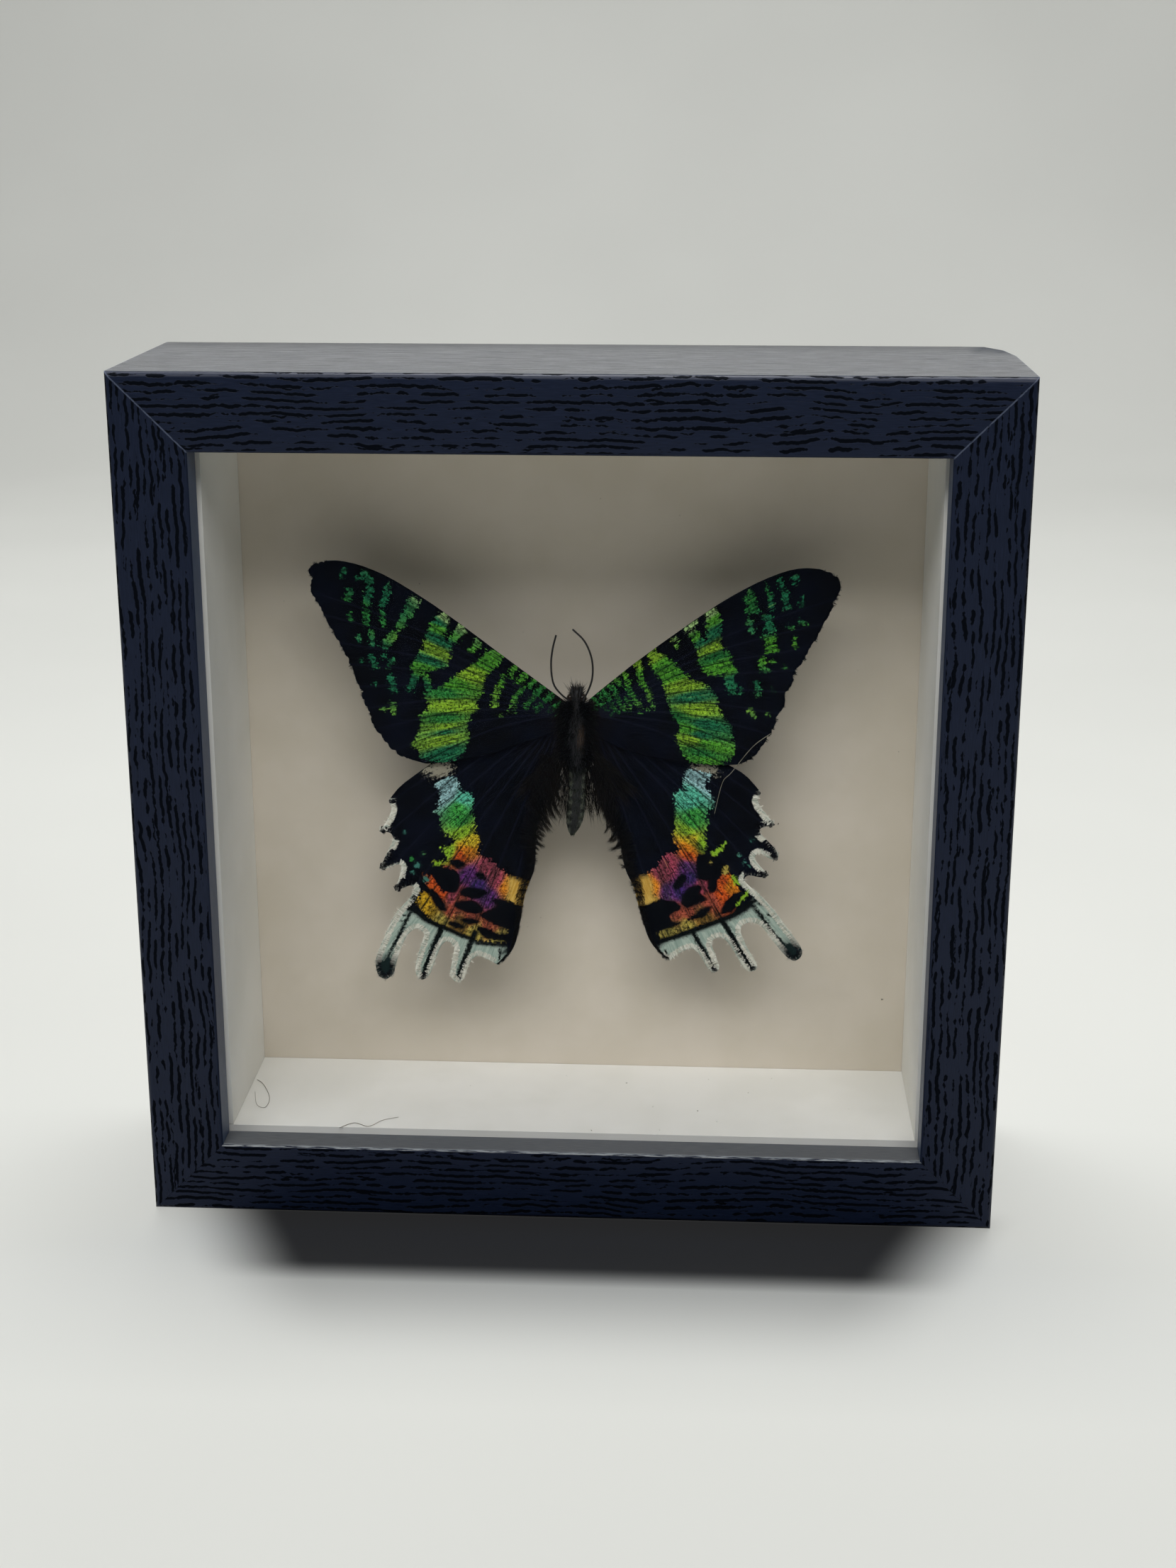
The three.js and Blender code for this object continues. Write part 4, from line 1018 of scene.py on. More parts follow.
def raggedness(tree, streak, grain):
    alongStreaks = sums(tree, "MULTIPLY", sums(tree, "SUBTRACT", streak, 0.5), 1.9)
    betweenScales = sums(tree, "MULTIPLY", sums(tree, "SUBTRACT", grain, 0.5), 3.4)
    return sums(tree, "ADD", alongStreaks, betweenScales)


def maskOf(tree, layer, ragged, softness, rough):
    # 1 inside a mark and 0 outside, with an edge as ragged as the scales
    depth = sums(tree, "ADD", attribute(tree, layer), sums(tree, "MULTIPLY", ragged, rough))
    return between(tree, depth, -softness, softness)


def groundTone(tree, wide):
    # blue-black scales, brown near the body, with the veins a little lighter
    blue = between(tree, wide, 0.35, 0.7)
    ground = mixColour(tree, blue, linear(wings["scaleBlack"]), linear(wings["scaleBlue"]))
    ground = mixColour(tree, attribute(tree, "furry"), ground, linear(wings["brown"]))
    ridge = between(tree, attribute(tree, "vein"), 0.05, 0.25, 0.35, 0.0)
    return mixColour(tree, ridge, ground, linear(wings["ridge"]))


def shineTone(tree, streak, broad, grain, glintBlend):
    # the bright scales: bands across the streaks, dark grooves and veins, and a fine grain
    shine = attribute(tree, "tint", "Color")
    dim = mixColour(tree, 0.62, shine, linear(wings["dim"]))
    both = sums(tree, "ADD", sums(tree, "MULTIPLY", streak, 0.6), sums(tree, "MULTIPLY", broad, 0.4))
    shine = mixColour(tree, between(tree, both, 0.43, 0.57), dim, shine)
    glint = between(tree, streak, 0.60, 0.72, 0.0, 0.24)
    shine = mixColour(tree, glint, shine, linear(wings["glint"]), glintBlend)
    groove = between(tree, streak, 0.37, 0.42, 0.8, 0.0)
    shine = mixColour(tree, groove, shine, linear(wings["groove"]))
    vein = between(tree, attribute(tree, "vein"), 0.06, 0.2, 0.85, 0.0)
    shine = mixColour(tree, vein, shine, linear(wings["veinShade"]))
    speck = between(tree, grain, 0.42, 0.50, 0.85, 0.0)
    shine = mixColour(tree, speck, shine, linear(wings["speck"]))
    bright = between(tree, grain, 0.53, 0.62, 0.0, 0.8)
    return mixColour(tree, bright, shine, linear("#ffffff"), "SOFT_LIGHT")


def paleTones(tree, streak, ragged, colour):
    # the pale tails, and the smoky patch where the hindwing comes out from under the forewing
    paleShare = between(tree, streak, 0.35, 0.65, 0.0, 0.55)
    pale = mixColour(tree, paleShare, linear(wings["pale"]), linear(wings["paleStreak"]))
    colour = mixColour(tree, maskOf(tree, "pale", ragged, 0.6, 0.6), colour, pale)
    smoke = sums(tree, "MULTIPLY", maskOf(tree, "smoke", ragged, 0.5, 2.2), 0.75)
    return mixColour(tree, smoke, colour, linear(wings["smoke"]))


def hindMarkTones(tree, streak, ragged, colour):
    streaky = between(tree, streak, 0.4, 0.6)
    cream = mixColour(tree, streaky, linear(wings["cream"]), linear(wings["creamShade"]))
    colour = mixColour(tree, maskOf(tree, "cream", ragged, 0.75, 0.7), colour, cream)
    blot = maskOf(tree, "blot", ragged, 0.10, 0.7)
    colour = mixColour(tree, blot, colour, linear(wings["scaleBlack"]))
    white = mixColour(tree, streaky, linear(wings["white"]), linear(wings["whiteShade"]))
    colour = mixColour(tree, maskOf(tree, "rim", ragged, 0.14, 0.3), white, colour)
    colour = mixColour(tree, maskOf(tree, "dark", ragged, 0.26, 0.45), colour, linear(wings["dark"]))
    club = sums(tree, "MULTIPLY", attribute(tree, "clubShade"), 0.7)
    colour = mixColour(tree, club, colour, linear(wings["clubShade"]))
    spot = maskOf(tree, "spot", ragged, 0.12, 0.8)
    return mixColour(tree, spot, colour, attribute(tree, "spotTint", "Color"))


def wingMaterial(name, hind):
    material, tree, shader = newMaterial(name, 0.62)
    streak, broad, grain, wide = wingNoise(tree)
    ragged = raggedness(tree, streak, grain)
    colour = groundTone(tree, wide)
    if hind:
        colour = paleTones(tree, streak, ragged, colour)
    shine = shineTone(tree, streak, broad, grain, "SCREEN" if hind else "MIX")
    patch = maskOf(tree, "patch", ragged, 0.08, 1.0)
    colour = mixColour(tree, patch, colour, shine)
    if hind:
        colour = hindMarkTones(tree, streak, ragged, colour)
    rough = between(tree, patch, 0.0, 1.0, 0.7, 0.5)
    plug(tree, shader, colour=colour, roughness=rough, normal=bumped(tree, streak, 0.12, 0.03 * mm))
    shader.inputs["Specular IOR Level"].default_value = 0.05
    return material


def addWing(name, marks, material, middle, hind):
    cadLoop = resampled(outlineOf(name), wings["edgeSpacing"])
    loop = resampled(membraneOutline(cadLoop, marks.get("inner")), wings["edgeSpacing"])
    if not hind:
        loop = raggedMargin(loop, np.sign(cadLoop[:, 0].mean()))
    flat, faces = filledMesh(loop, wings["grid"])
    made = makeObject(name.replace("_", "-") + "-membrane", wingPlace(flat, middle), faces, material)
    if sum(face.normal.y for face in made.data.polygons) > 0:
        made.data.flip_normals()
    addWingLayers(made, flat, marks, hind)
    if hind:
        addHindLayers(made, flat, marks, cadLoop)
    shell = made.modifiers.new("thickness", "SOLIDIFY")
    shell.thickness = wings["thickness"] * mm
    shell.offset = 0.0
    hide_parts(name)
    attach(made, "root")
    return cadLoop


def addWingLayers(made, flat, marks, hind):
    # what the material reads at each point of a membrane
    side = -1.0 if flat[:, 0].mean() < 0 else 1.0
    angle = np.arctan2(flat[:, 1], flat[:, 0] * side)
    reach = np.hypot(flat[:, 0], flat[:, 1])
    addVectors(made, "ray", np.column_stack([angle * 3, reach, np.full(len(flat), side * 7 + hind * 3)]))
    addVectors(made, "flat", np.column_stack([flat[:, 0], np.full(len(flat), 5.0 * hind), flat[:, 1]]))
    addFloats(made, "patch", deepest(flat, marks["patches"], [] if hind else marks["dashes"]))
    addColours(made, "tint", blendedTints(flat, marks["dabs"], side, 0.8 if hind else 0.4))
    addFloats(made, "vein", veinDistance(flat, marks["veins"], side))
    addFloats(made, "furry", np.clip(1 - reach / marks["furReach"], 0, 1) * 0.8)
    if hind:
        addColours(made, "spotTint", blendedTints(flat, marks["spotDabs"], side, 1.0))


def addHindLayers(made, flat, marks, cadLoop):
    addFloats(made, "pale", deepest(flat, [marks["pale"]]))
    addFloats(made, "smoke", deepest(flat, [marks["smoke"]]))
    addFloats(made, "cream", deepest(flat, [marks["cream"]]) + 0.3)
    clubAway = np.linalg.norm(flat - clubOf(marks), axis=1)
    addFloats(made, "clubShade", np.clip(1 - (clubAway - 1.7) / 2.6, 0, 1))
    addFloats(made, "blot", deepest(flat, marks["blots"].values()))
    addFloats(made, "dark", deepest(flat, [], marks["dark"]))
    addFloats(made, "spot", deepest(flat, [], marks["dashes"]))
    rim = depthIn(flat, cadLoop) - wings["fringe"]
    rim = np.where(scallopZone(flat, marks), rim, 2.0)
    addFloats(made, "rim", np.maximum(rim, toothDepth(flat, teethOf(cadLoop, marks))))


def veinDistance(flat, ends, side):
    # every vein starts at the shoulder and bends a little on its way to the margin
    best = np.full(len(flat), 9.0)
    start = np.array([side * 2.5, -1.0])
    for x, z in ends:
        end = np.array([x, z])
        middle = (start + end) / 2 + np.array([0.0, 0.06 * abs(x)])
        path = rounded([start, middle, end], closed=False)
        best = np.minimum(best, toSegments(flat, path))
    return best


# The hindwing's outer margin: black teeth in a white fringe

teeth = {
    "sharpest": 0.2,  # mm that a point must stand out to be a tooth
    "apart": 1.6,
    "tipHalf": 0.24,
    "widening": 0.34,
}


def alongLoop(loop, spacing):
    # places round a closed loop, with the direction out of it
    ring = resampled(loop, spacing)
    run = np.roll(ring, -1, axis=0) - np.roll(ring, 1, axis=0)
    out = np.column_stack([run[:, 1], -run[:, 0]])
    out /= np.linalg.norm(out, axis=1)[:, None]
    turning = np.sum(ring[:, 0] * np.roll(ring[:, 1], -1) - np.roll(ring[:, 0], -1) * ring[:, 1])
    return ring, out if turning > 0 else -out


def smoothNoise(count, width):
    rough = chance.normal(0, 1, count + 2 * width)
    smooth = np.convolve(rough, np.ones(width) / math.sqrt(width), "same")
    return smooth[width:width + count]


def sharpness(ring, out, gap):
    # how far each place stands out beyond its neighbours on the loop
    chord = (np.roll(ring, gap, axis=0) + np.roll(ring, -gap, axis=0)) / 2
    return np.sum((ring - chord) * out, axis=1)


def teethOf(cadLoop, marks):
    # the black points of the outer margin above the tails: a tip and the way inward
    ring, out = alongLoop(cadLoop, 0.1)
    aboveTails = scallopZone(ring, marks) & (ring[:, 1] > marks["tailTop"])
    sharp = np.where(aboveTails, sharpness(ring, out, 8), 0)
    found = []
    for i in np.argsort(-sharp):
        if sharp[i] < teeth["sharpest"]:
            break
        if all(np.linalg.norm(ring[i] - tip) > teeth["apart"] for tip, _ in found):
            found.append((ring[i], -out[i]))
    return found


def clubOf(marks):
    # the middle of the round black end of the longest tail: the widest dark mark
    return np.array(max(marks["dark"], key=lambda mark: mark[0])[1][0])


def raggedMargin(loop, side):
    # the forewing's outer margin is worn into small nicks
    ring, out = alongLoop(loop, 0.2)
    worn = (out[:, 0] * side > 0.2) & (np.abs(ring[:, 0]) > 30)
    nick = np.clip(smoothNoise(len(ring), 3), -2.5, 0.8) * 0.13
    return ring + out * np.where(worn, nick, 0.0)[:, None]


def toothDepth(flat, found):
    # how far inside a black tooth, a wedge that narrows to its tip
    best = np.full(len(flat), -9.0)
    for tip, inward in found:
        along = (flat - tip) @ inward
        across = np.abs((flat - tip) @ np.array([-inward[1], inward[0]]))
        wedge = teeth["tipHalf"] + teeth["widening"] * np.clip(along, 0, 3.5) - across
        best = np.where((along > -0.4) & (along < 4.5), np.maximum(best, wedge), best)
    return best


def scallopZone(flat, marks):
    # the fringe is white on the outer margin, below a line from the costa's end
    low = flat[:, 1] < marks["fringeTop"]
    outer = np.abs(flat[:, 0]) > np.interp(flat[:, 1], [-60, -47, -44, -30], [15.0, 15.4, 17, 22])
    return low & outer


# Hair, fur and fringes. Tones: at the dark end, at the light end, and at the tip

hair = {
    "fringe": {"tones": (wings["white"], "#0d0d12", wings["white"]), "width": 0.13, "spacing": 0.045},
    "edge": {"tones": ("#040508", "#8b8a80", "#0a0a0d"), "width": 0.12, "spacing": 0.07},
    "long": {"tones": ("#030303", "#0f0c0a", "#2f2820")},
    "margin": {"count": 3600, "locks": 38, "width": 0.075},
    "root": {"count": 1500, "width": 0.07, "length": (1.6, 4.2), "reach": (2.0, 13.0)},
    "shoulder": {"count": 900, "width": 0.09, "length": (0.9, 2.6)},
    "collar": {"count": 620, "width": 0.10, "length": (0.9, 1.9)},
    "thorax": {"tones": ("#030303", "#6b5744", "#0a0908"), "count": 4200, "width": 0.09,
               "length": (0.5, 2.6)},
    "head": {"tones": ("#100f10", "#56504a", "#3a3632"), "count": 800, "width": 0.09,
             "length": (0.4, 0.95)},
    "abdomen": {"tones": ("#060707", "#9ba089", "#33382f"), "count": 3000, "width": 0.11,
                "length": (0.35, 0.85)},
}


def threadMaterial(name, tones):
    material, tree, shader = newMaterial(name, 0.6)
    colour = mixColour(tree, attribute(tree, "tone"), linear(tones[0]), linear(tones[1]))
    tip = between(tree, attribute(tree, "toTip"), 0.4, 1.0, 0.0, 0.5)
    plug(tree, shader, colour=mixColour(tree, tip, colour, linear(tones[2])))
    shader.inputs["Specular IOR Level"].default_value = 0.08
    return material


def outAndUp(angle, hand):
    # directions in the wing's plane, away from the body on either side
    return np.column_stack([hand * np.cos(angle), np.sin(angle)])


def addFringe(name, cadLoop, marks, material, middle):
    look = hair["fringe"]
    ring, out = alongLoop(cadLoop, look["spacing"])
    use = scallopZone(ring, marks)
    ring, out = ring[use], out[use]
    reach = chance.uniform(0.75, 1.06, len(ring))
    uneven = smoothNoise(len(ring), 9) * 0.22
    tips = ring + out * (reach + uneven - 0.97)[:, None]
    roots = ring - out * chance.uniform(0.8, 1.15, (len(ring), 1))
    tips += chance.normal(0, 0.07, tips.shape)
    inTooth = toothDepth(ring - out * 0.4, teethOf(cadLoop, marks)) > -0.03
    onVein = deepest(ring - out * 0.5, [], marks["dark"]) > 0.05
    dark = (deepest(ring, [], marks["dark"]) > -0.1) | onVein | inTooth
    tone = np.where(dark, 1.0, chance.uniform(0, 0.16, len(ring)))
    clubAway = np.linalg.norm(ring - clubOf(marks), axis=1)
    tone = np.maximum(tone, np.clip(1 - (clubAway - 1.8) / 2.4, 0, 1))
    rootPlace, tipPlace = wingPlace(roots, middle), wingPlace(tips, middle)
    rootPlace[:, 1] += chance.uniform(-0.14, 0.02, len(ring))
    tipPlace[:, 1] += chance.uniform(-0.15, 0.15, len(ring))
    bends = np.zeros_like(rootPlace)
    made = strands(name, rootPlace, tipPlace, bends, look["width"], material, 2, tone, 0.7)
    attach(made, "root")


def addEdgeScales(name, cadLoop, material, middle, hand):
    # short dark scales along the forewing's outer margin
    look = hair["edge"]
    ring, out = alongLoop(cadLoop, look["spacing"])
    use = (out[:, 0] * hand > 0.15) & (ring[:, 0] * hand > 24)
    ring, out = ring[use], out[use]
    roots = wingPlace(ring - out * 0.5, middle)
    reach = chance.uniform(-0.25, 0.15, len(ring)) + 0.22 * smoothNoise(len(ring), 7)
    tips = wingPlace(ring + out * np.clip(reach, -0.4, 0.5)[:, None], middle)
    tone = np.clip(smoothNoise(len(ring), 5) - 1.0, 0, 1)
    made = strands(name, roots, tips, np.zeros_like(roots), look["width"], material, 2, tone, 0.6)
    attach(made, "root")


def marginEnvelope(cadLoop, inner):
    # the part of the CAD wing's outline that the hair's tips reach
    ends = [int(np.argmin(np.linalg.norm(cadLoop - end, axis=1))) for end in (inner[0], inner[-1])]
    count = len(cadLoop)
    forward = (ends[1] - ends[0]) % count
    stepWay = 1 if forward < count / 2 else -1
    span = forward if stepWay == 1 else count - forward
    return np.array([cadLoop[(ends[0] + stepWay * k) % count] for k in range(span + 1)])


def pick(path, where):
    # places along a path, from 0 at its start to 1 at its end
    place = np.clip(where, 0, 1) * (len(path) - 1)
    return np.column_stack([np.interp(place, range(len(path)), path[:, k]) for k in (0, 1)])


def addMarginHair(name, cadLoop, marks, material, middle, hand):
    # long hair from the hindwing's inner margin down toward the body, gathered in locks
    look = hair["margin"]
    inner = resampled(rounded(marks["inner"], closed=False), 0.2, closed=False)
    if inner[0][1] > inner[-1][1]:
        inner = inner[::-1]
    envelope = marginEnvelope(cadLoop, inner)
    number, locks = look["count"], look["locks"]
    share = np.sort(chance.uniform(0.0, 0.97, number))
    lift = np.clip(share * 1.5, 0, 1) * 0.16
    roots = pick(inner, share + lift + chance.normal(0, 0.02, number))
    roots[:, 0] += hand * chance.uniform(-0.2, 3.0, number) * np.clip(share * 2, 0.1, 1)
    lock = np.round(share * locks).astype(int)
    lockTip = (lock + chance.uniform(-0.3, 0.3, locks + 1)[lock]) / locks
    lockReach = chance.uniform(1.0, 1.42, locks + 1)[lock]
    tips = pick(envelope, lockTip + chance.normal(0, 0.004, number))
    loose = chance.uniform(0, 1, number) > 0.82
    looseReach = chance.uniform(0.5, 1.25, number)
    reach = np.where(loose, looseReach, lockReach * chance.uniform(0.86, 1.0, number))
    tips = roots + (tips - roots) * reach[:, None] + chance.normal(0, 0.06, tips.shape)
    rootPlace, tipPlace = wingPlace(roots, middle), wingPlace(tips, middle)
    rootPlace[:, 1] += chance.uniform(-0.35, 0.05, number)
    tipPlace[:, 1] += chance.uniform(-0.3, 0.3, number)
    bends = np.column_stack([chance.normal(hand * 0.25, 0.08, number), chance.normal(0, 0.15, number),
                             chance.normal(0.15, 0.08, number)])
    tone = chance.uniform(0, 1, number)
    made = strands(name, rootPlace, tipPlace, bends, look["width"], material, 5, tone, 0.75)
    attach(made, "root")


def addShoulderFur(name, material, hand):
    # fur over the joint of the wings, swept outward and down
    look = hair["shoulder"]
    number = look["count"]
    start = np.column_stack([hand * chance.uniform(0.8, 2.9, number), chance.uniform(-9.5, 1.2, number)])
    length = chance.uniform(*look["length"], number)
    angle = np.radians(chance.uniform(-80, -15, number))
    end = start + outAndUp(angle, hand) * length[:, None]
    roots, tips = wingPlace(start, wings["foreMiddle"]), wingPlace(end, wings["foreMiddle"])
    nearBody = np.clip(1.6 - np.abs(start[:, 0]) / 2.4, 0.1, 1)
    roots[:, 1] -= chance.uniform(0.3, 1.6, number) * nearBody
    tips[:, 1] -= chance.uniform(0.1, 0.7, number)
    bends = np.tile([0.0, -0.2, 0.1], (number, 1))
    made = strands(name, roots, tips, bends, look["width"], material, 4, chance.uniform(0, 0.35, number))
    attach(made, "root")


def addCollar(name, material, hand):
    # fur that closes the corner between the head and the root of the forewing
    look = hair["collar"]
    number = look["count"]
    start = np.column_stack([hand * chance.uniform(0.4, 2.0, number), chance.uniform(-1.6, 1.3, number)])
    angle = np.radians(chance.uniform(-30, 45, number))
    end = start + outAndUp(angle, hand) * chance.uniform(*look["length"], (number, 1))
    roots, tips = wingPlace(start, wings["foreMiddle"]), wingPlace(end, wings["foreMiddle"])
    roots[:, 1] -= chance.uniform(0.2, 1.2, number)
    tips[:, 1] -= chance.uniform(0.0, 0.6, number)
    tone = chance.uniform(0, 0.4, number)
    made = strands(name, roots, tips, np.zeros_like(roots), look["width"], material, 3, tone)
    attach(made, "root")


def addRootFur(name, material, hand):
    # fur that lies over the bases of the wings, swept outward and down
    look = hair["root"]
    number = look["count"]
    reach = chance.uniform(*look["reach"], number)
    angle = np.radians(chance.uniform(-88, -38, number))
    start = np.column_stack([hand * (1.2 + reach * np.cos(angle) * 0.8), -6.0 + reach * np.sin(angle)])
    angle = angle + chance.normal(0, 0.12, number)
    end = start + outAndUp(angle, hand) * chance.uniform(*look["length"], number)[:, None]
    roots, tips = wingPlace(start, wings["hindMiddle"]), wingPlace(end, wings["hindMiddle"])
    roots[:, 1] -= chance.uniform(0.0, 0.15, number)
    tips[:, 1] -= chance.uniform(0.05, 0.5, number)
    bends = np.column_stack([chance.normal(0, 0.1, number), np.full(number, -0.12), np.zeros(number)])
    made = strands(name, roots, tips, bends, look["width"], material, 4)
    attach(made, "root")


foreScales = wingMaterial("foreWingScales", False)
hindScales = wingMaterial("hindWingScales", True)
fringeWhite = threadMaterial("fringe", hair["fringe"]["tones"])
edgeDark = threadMaterial("edgeScales", hair["edge"]["tones"])
longHair = threadMaterial("longHair", hair["long"]["tones"])

for hand, side in ((-1, "left"), (1, "right")):
    foreLoop = addWing("forewing_" + side, marks["fore" + side], foreScales, wings["foreMiddle"], False)
    addEdgeScales("edge-scales-" + side, foreLoop, edgeDark, wings["foreMiddle"], hand)
    hindMarks = marks["hind" + side]
    hindLoop = addWing("hindwing_" + side, hindMarks, hindScales, wings["hindMiddle"], True)
    addFringe("fringe-" + side, hindLoop, hindMarks, fringeWhite, wings["hindMiddle"])
    addMarginHair("margin-hair-" + side, hindLoop, hindMarks, longHair, wings["hindMiddle"], hand)
    addRootFur("root-fur-" + side, longHair, hand)
    addShoulderFur("shoulder-fur-" + side, longHair, hand)
    addCollar("collar-" + side, longHair, hand)
print("wings scaled and fringed")


# The body. Each ring: height from the shoulders, sideways place, depth behind the
# frame's front, half width and half depth, all in millimetres

body = {
    "rings": [
        (-24.6, -0.95, 27.6, 0.25, 0.25), (-23.8, -0.85, 27.5, 0.8, 0.75),
        (-22.4, -0.6, 27.4, 1.35, 1.25), (-20.4, -0.35, 27.3, 1.7, 1.6),
        (-17.6, -0.05, 27.2, 1.7, 1.7), (-15.0, 0.1, 27.1, 1.65, 1.75),
        (-12.8, 0.2, 27.0, 1.7, 1.8), (-11.4, 0.15, 26.9, 1.95, 2.1),
        (-10.0, 0.1, 26.8, 2.5, 2.6), (-8.2, 0.1, 26.7, 3.0, 3.0),
        (-6.2, 0.1, 26.6, 3.3, 3.2), (-4.2, 0.15, 26.5, 3.3, 3.2),
        (-2.4, 0.15, 26.4, 2.9, 2.9), (-1.0, 0.15, 26.3, 2.2, 2.3),
        (0.1, 0.1, 26.2, 1.35, 1.6), (0.7, 0.05, 26.2, 1.2, 1.35),
        (1.5, 0.0, 26.2, 1.35, 1.5), (2.4, 0.0, 26.2, 1.25, 1.4),
        (3.1, 0.0, 26.2, 0.9, 1.0), (3.5, 0.0, 26.2, 0.35, 0.4),
    ],
    "waist": -11.5,  # where the abdomen begins
    "abdomenLength": 12.6,
    "segments": 7,
    "thoraxCore": 0.86,  # the skin's share of each ring, under the hair
    "abdomenCore": 0.93,
    "coreRings": 130,
    "coreSides": 40,
    "eye": 0.8,
    "eyePlace": (1.0, 3.5, 1.7),  # sideways, behind the frame's middle, above the shoulders
    "palp": [(0.5, 2.8, 89.8), (0.75, 2.4, 91.1), (0.8, 2.5, 92.1)],
    "back": "#0d0e0c",
    "flankDark": "#0d0f0d",
    "flankLight": "#6d7363",
    "seam": "#15170f",
    "thorax": "#050505",
    "eyeDark": "#120d09",
    "eyeLight": "#33251a",
    "limbDark": "#060505",
    "limbLight": "#16110d",
}


def ringAt(up):
    rings = np.array(body["rings"])
    return [np.interp(up, rings[:, 0], rings[:, k]) for k in (1, 2, 3, 4)]


def onBody(up, angle, share):
    across, back, width, thick = ringAt(up)
    x = across + width * share * np.cos(angle)
    y = back - rails["depth"] / 2 + thick * share * np.sin(angle)
    return np.column_stack([x, y, up + wings["shoulder"]])


def coreShare(up):
    return body["abdomenCore"] if up < body["waist"] else body["thoraxCore"]


def bodyMaterial():
    # dark along the back, speckled flanks on the abdomen, black thorax
    material, tree, shader = newMaterial("bodyScales", 0.62)
    fine = noise(tree, objectPlace(tree), 1500.0, 4.0, 0.7)
    speckle = between(tree, fine, 0.42, 0.62)
    flank = mixColour(tree, speckle, linear(body["flankDark"]), linear(body["flankLight"]))
    wander = sums(tree, "MULTIPLY", sums(tree, "SUBTRACT", fine, 0.5), 0.7)
    edge = sums(tree, "ADD", attribute(tree, "dorsal"), wander)
    colour = mixColour(tree, between(tree, edge, 0.70, 0.90), flank, linear(body["back"]))
    seam = between(tree, attribute(tree, "ring"), 0.0, 0.35, 0.55, 0.0)
    colour = mixColour(tree, seam, colour, linear(body["seam"]))
    colour = mixColour(tree, attribute(tree, "thorax"), colour, linear(body["thorax"]))
    plug(tree, shader, colour=colour, normal=bumped(tree, fine, 0.5, 0.06 * mm))
    return material


def addBodyCore():
    # the skin under the hair; each segment of the abdomen swells a little toward its end
    ups = np.linspace(body["rings"][0][0], body["rings"][-1][0], body["coreRings"])
    sides = body["coreSides"]
    angles = np.linspace(0, 2 * math.pi, sides, endpoint=False)
    points, dorsal, ring, thorax = [], [], [], []
    for up in ups:
        fall = (body["waist"] - up) / body["abdomenLength"] * body["segments"]
        phase = fall % 1.0 if fall > 0 else 0.5
        swell = 1 + 0.07 * (phase - 0.5) if fall > 0 else 1.0
        rough = 1 + chance.normal(0, 0.012, sides)
        points.append(onBody(np.full(sides, up), angles, coreShare(up) * swell * rough))
        dorsal += list(0.5 - 0.5 * np.sin(angles))
        ring += [phase] * sides
        thorax += [float(np.clip((up - body["waist"] + 1) / 1.5, 0, 1))] * sides
    made = makeObject("body-core", np.vstack(points), ringFaces(len(ups), sides), bodyMaterial())
    outward(made)
    addFloats(made, "dorsal", np.array(dorsal) ** 3)
    addFloats(made, "ring", ring)
    addFloats(made, "thorax", thorax)
    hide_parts("body")
    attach(made, "root")


def addThoraxFur():
    look = hair["thorax"]
    number = look["count"]
    up = chance.uniform(-11.6, 0.9, number)
    angle = chance.uniform(0, 2 * math.pi, number)
    roots = onBody(up, angle, body["thoraxCore"] * 0.96)
    fall = chance.uniform(*look["length"], number)
    tips = onBody(up - fall, angle + chance.normal(0, 0.15, number), chance.uniform(0.88, 1.06, number))
    bends = chance.normal(0, 0.09, tips.shape)
    # one warm brown streak on the back
    warm = np.exp(-((roots[:, 0] - 0.8) ** 2 / 0.16 + (up + 4.4) ** 2 / 2.6)) * (np.sin(angle) < 0)
    tone = np.clip(warm * 0.9 + chance.uniform(0, 0.015, number), 0, 1)
    material = threadMaterial("bodyFur", look["tones"])
    made = strands("thorax-fur", roots, tips, bends, look["width"], material, 4, tone)
    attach(made, "root")


def addHeadFur():
    look = hair["head"]
    number = look["count"]
    up = chance.uniform(0.3, 3.3, number)
    angle = chance.uniform(0, 2 * math.pi, number)
    roots = onBody(up, angle, 0.8)
    out = roots - np.array([0.0, 26.2 - rails["depth"] / 2, wings["shoulder"] + 1.2])
    out /= np.linalg.norm(out, axis=1)[:, None]
    out += chance.normal(0, 0.25, out.shape)
    crown = np.where(up > 2.5, 1.7, 1.0)[:, None]  # longer on the crown
    tips = roots + out * chance.uniform(*look["length"], (number, 1)) * crown
    tone = chance.uniform(0, 0.5, number)
    bends = np.zeros_like(roots)
    material = threadMaterial("headFur", look["tones"])
    made = strands("head-fur", roots, tips, bends, look["width"], material, 3, tone)
    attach(made, "root")


def addAbdomenScales():
    look = hair["abdomen"]
    number = look["count"]
    up = chance.uniform(-24.2, -11.0, number)
    angle = chance.uniform(0, 2 * math.pi, number)
    roots = onBody(up, angle, body["abdomenCore"] * 0.97)
    length = chance.uniform(*look["length"], number)
    tips = onBody(up - length, angle, chance.uniform(0.95, 1.08, number))
    side = np.sign(np.cos(angle))
    flank = np.abs(np.cos(angle)) > 0.62 + 0.26 * np.sin(up * 3.3 + 1.0 + side)
    rings = 0.5 + 0.5 * np.sin(up * 3.4 + side)
    pale = (0.08 + 0.92 * rings ** 2) * chance.uniform(0.1, 1.0, number) ** 1.5
    tone = np.where(flank, pale, chance.uniform(0, 0.08, number))
    bends = np.zeros_like(roots)
    material = threadMaterial("abdomenFur", look["tones"])
    made = strands("abdomen-scales", roots, tips, bends, look["width"], material, 3, tone)
    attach(made, "root")


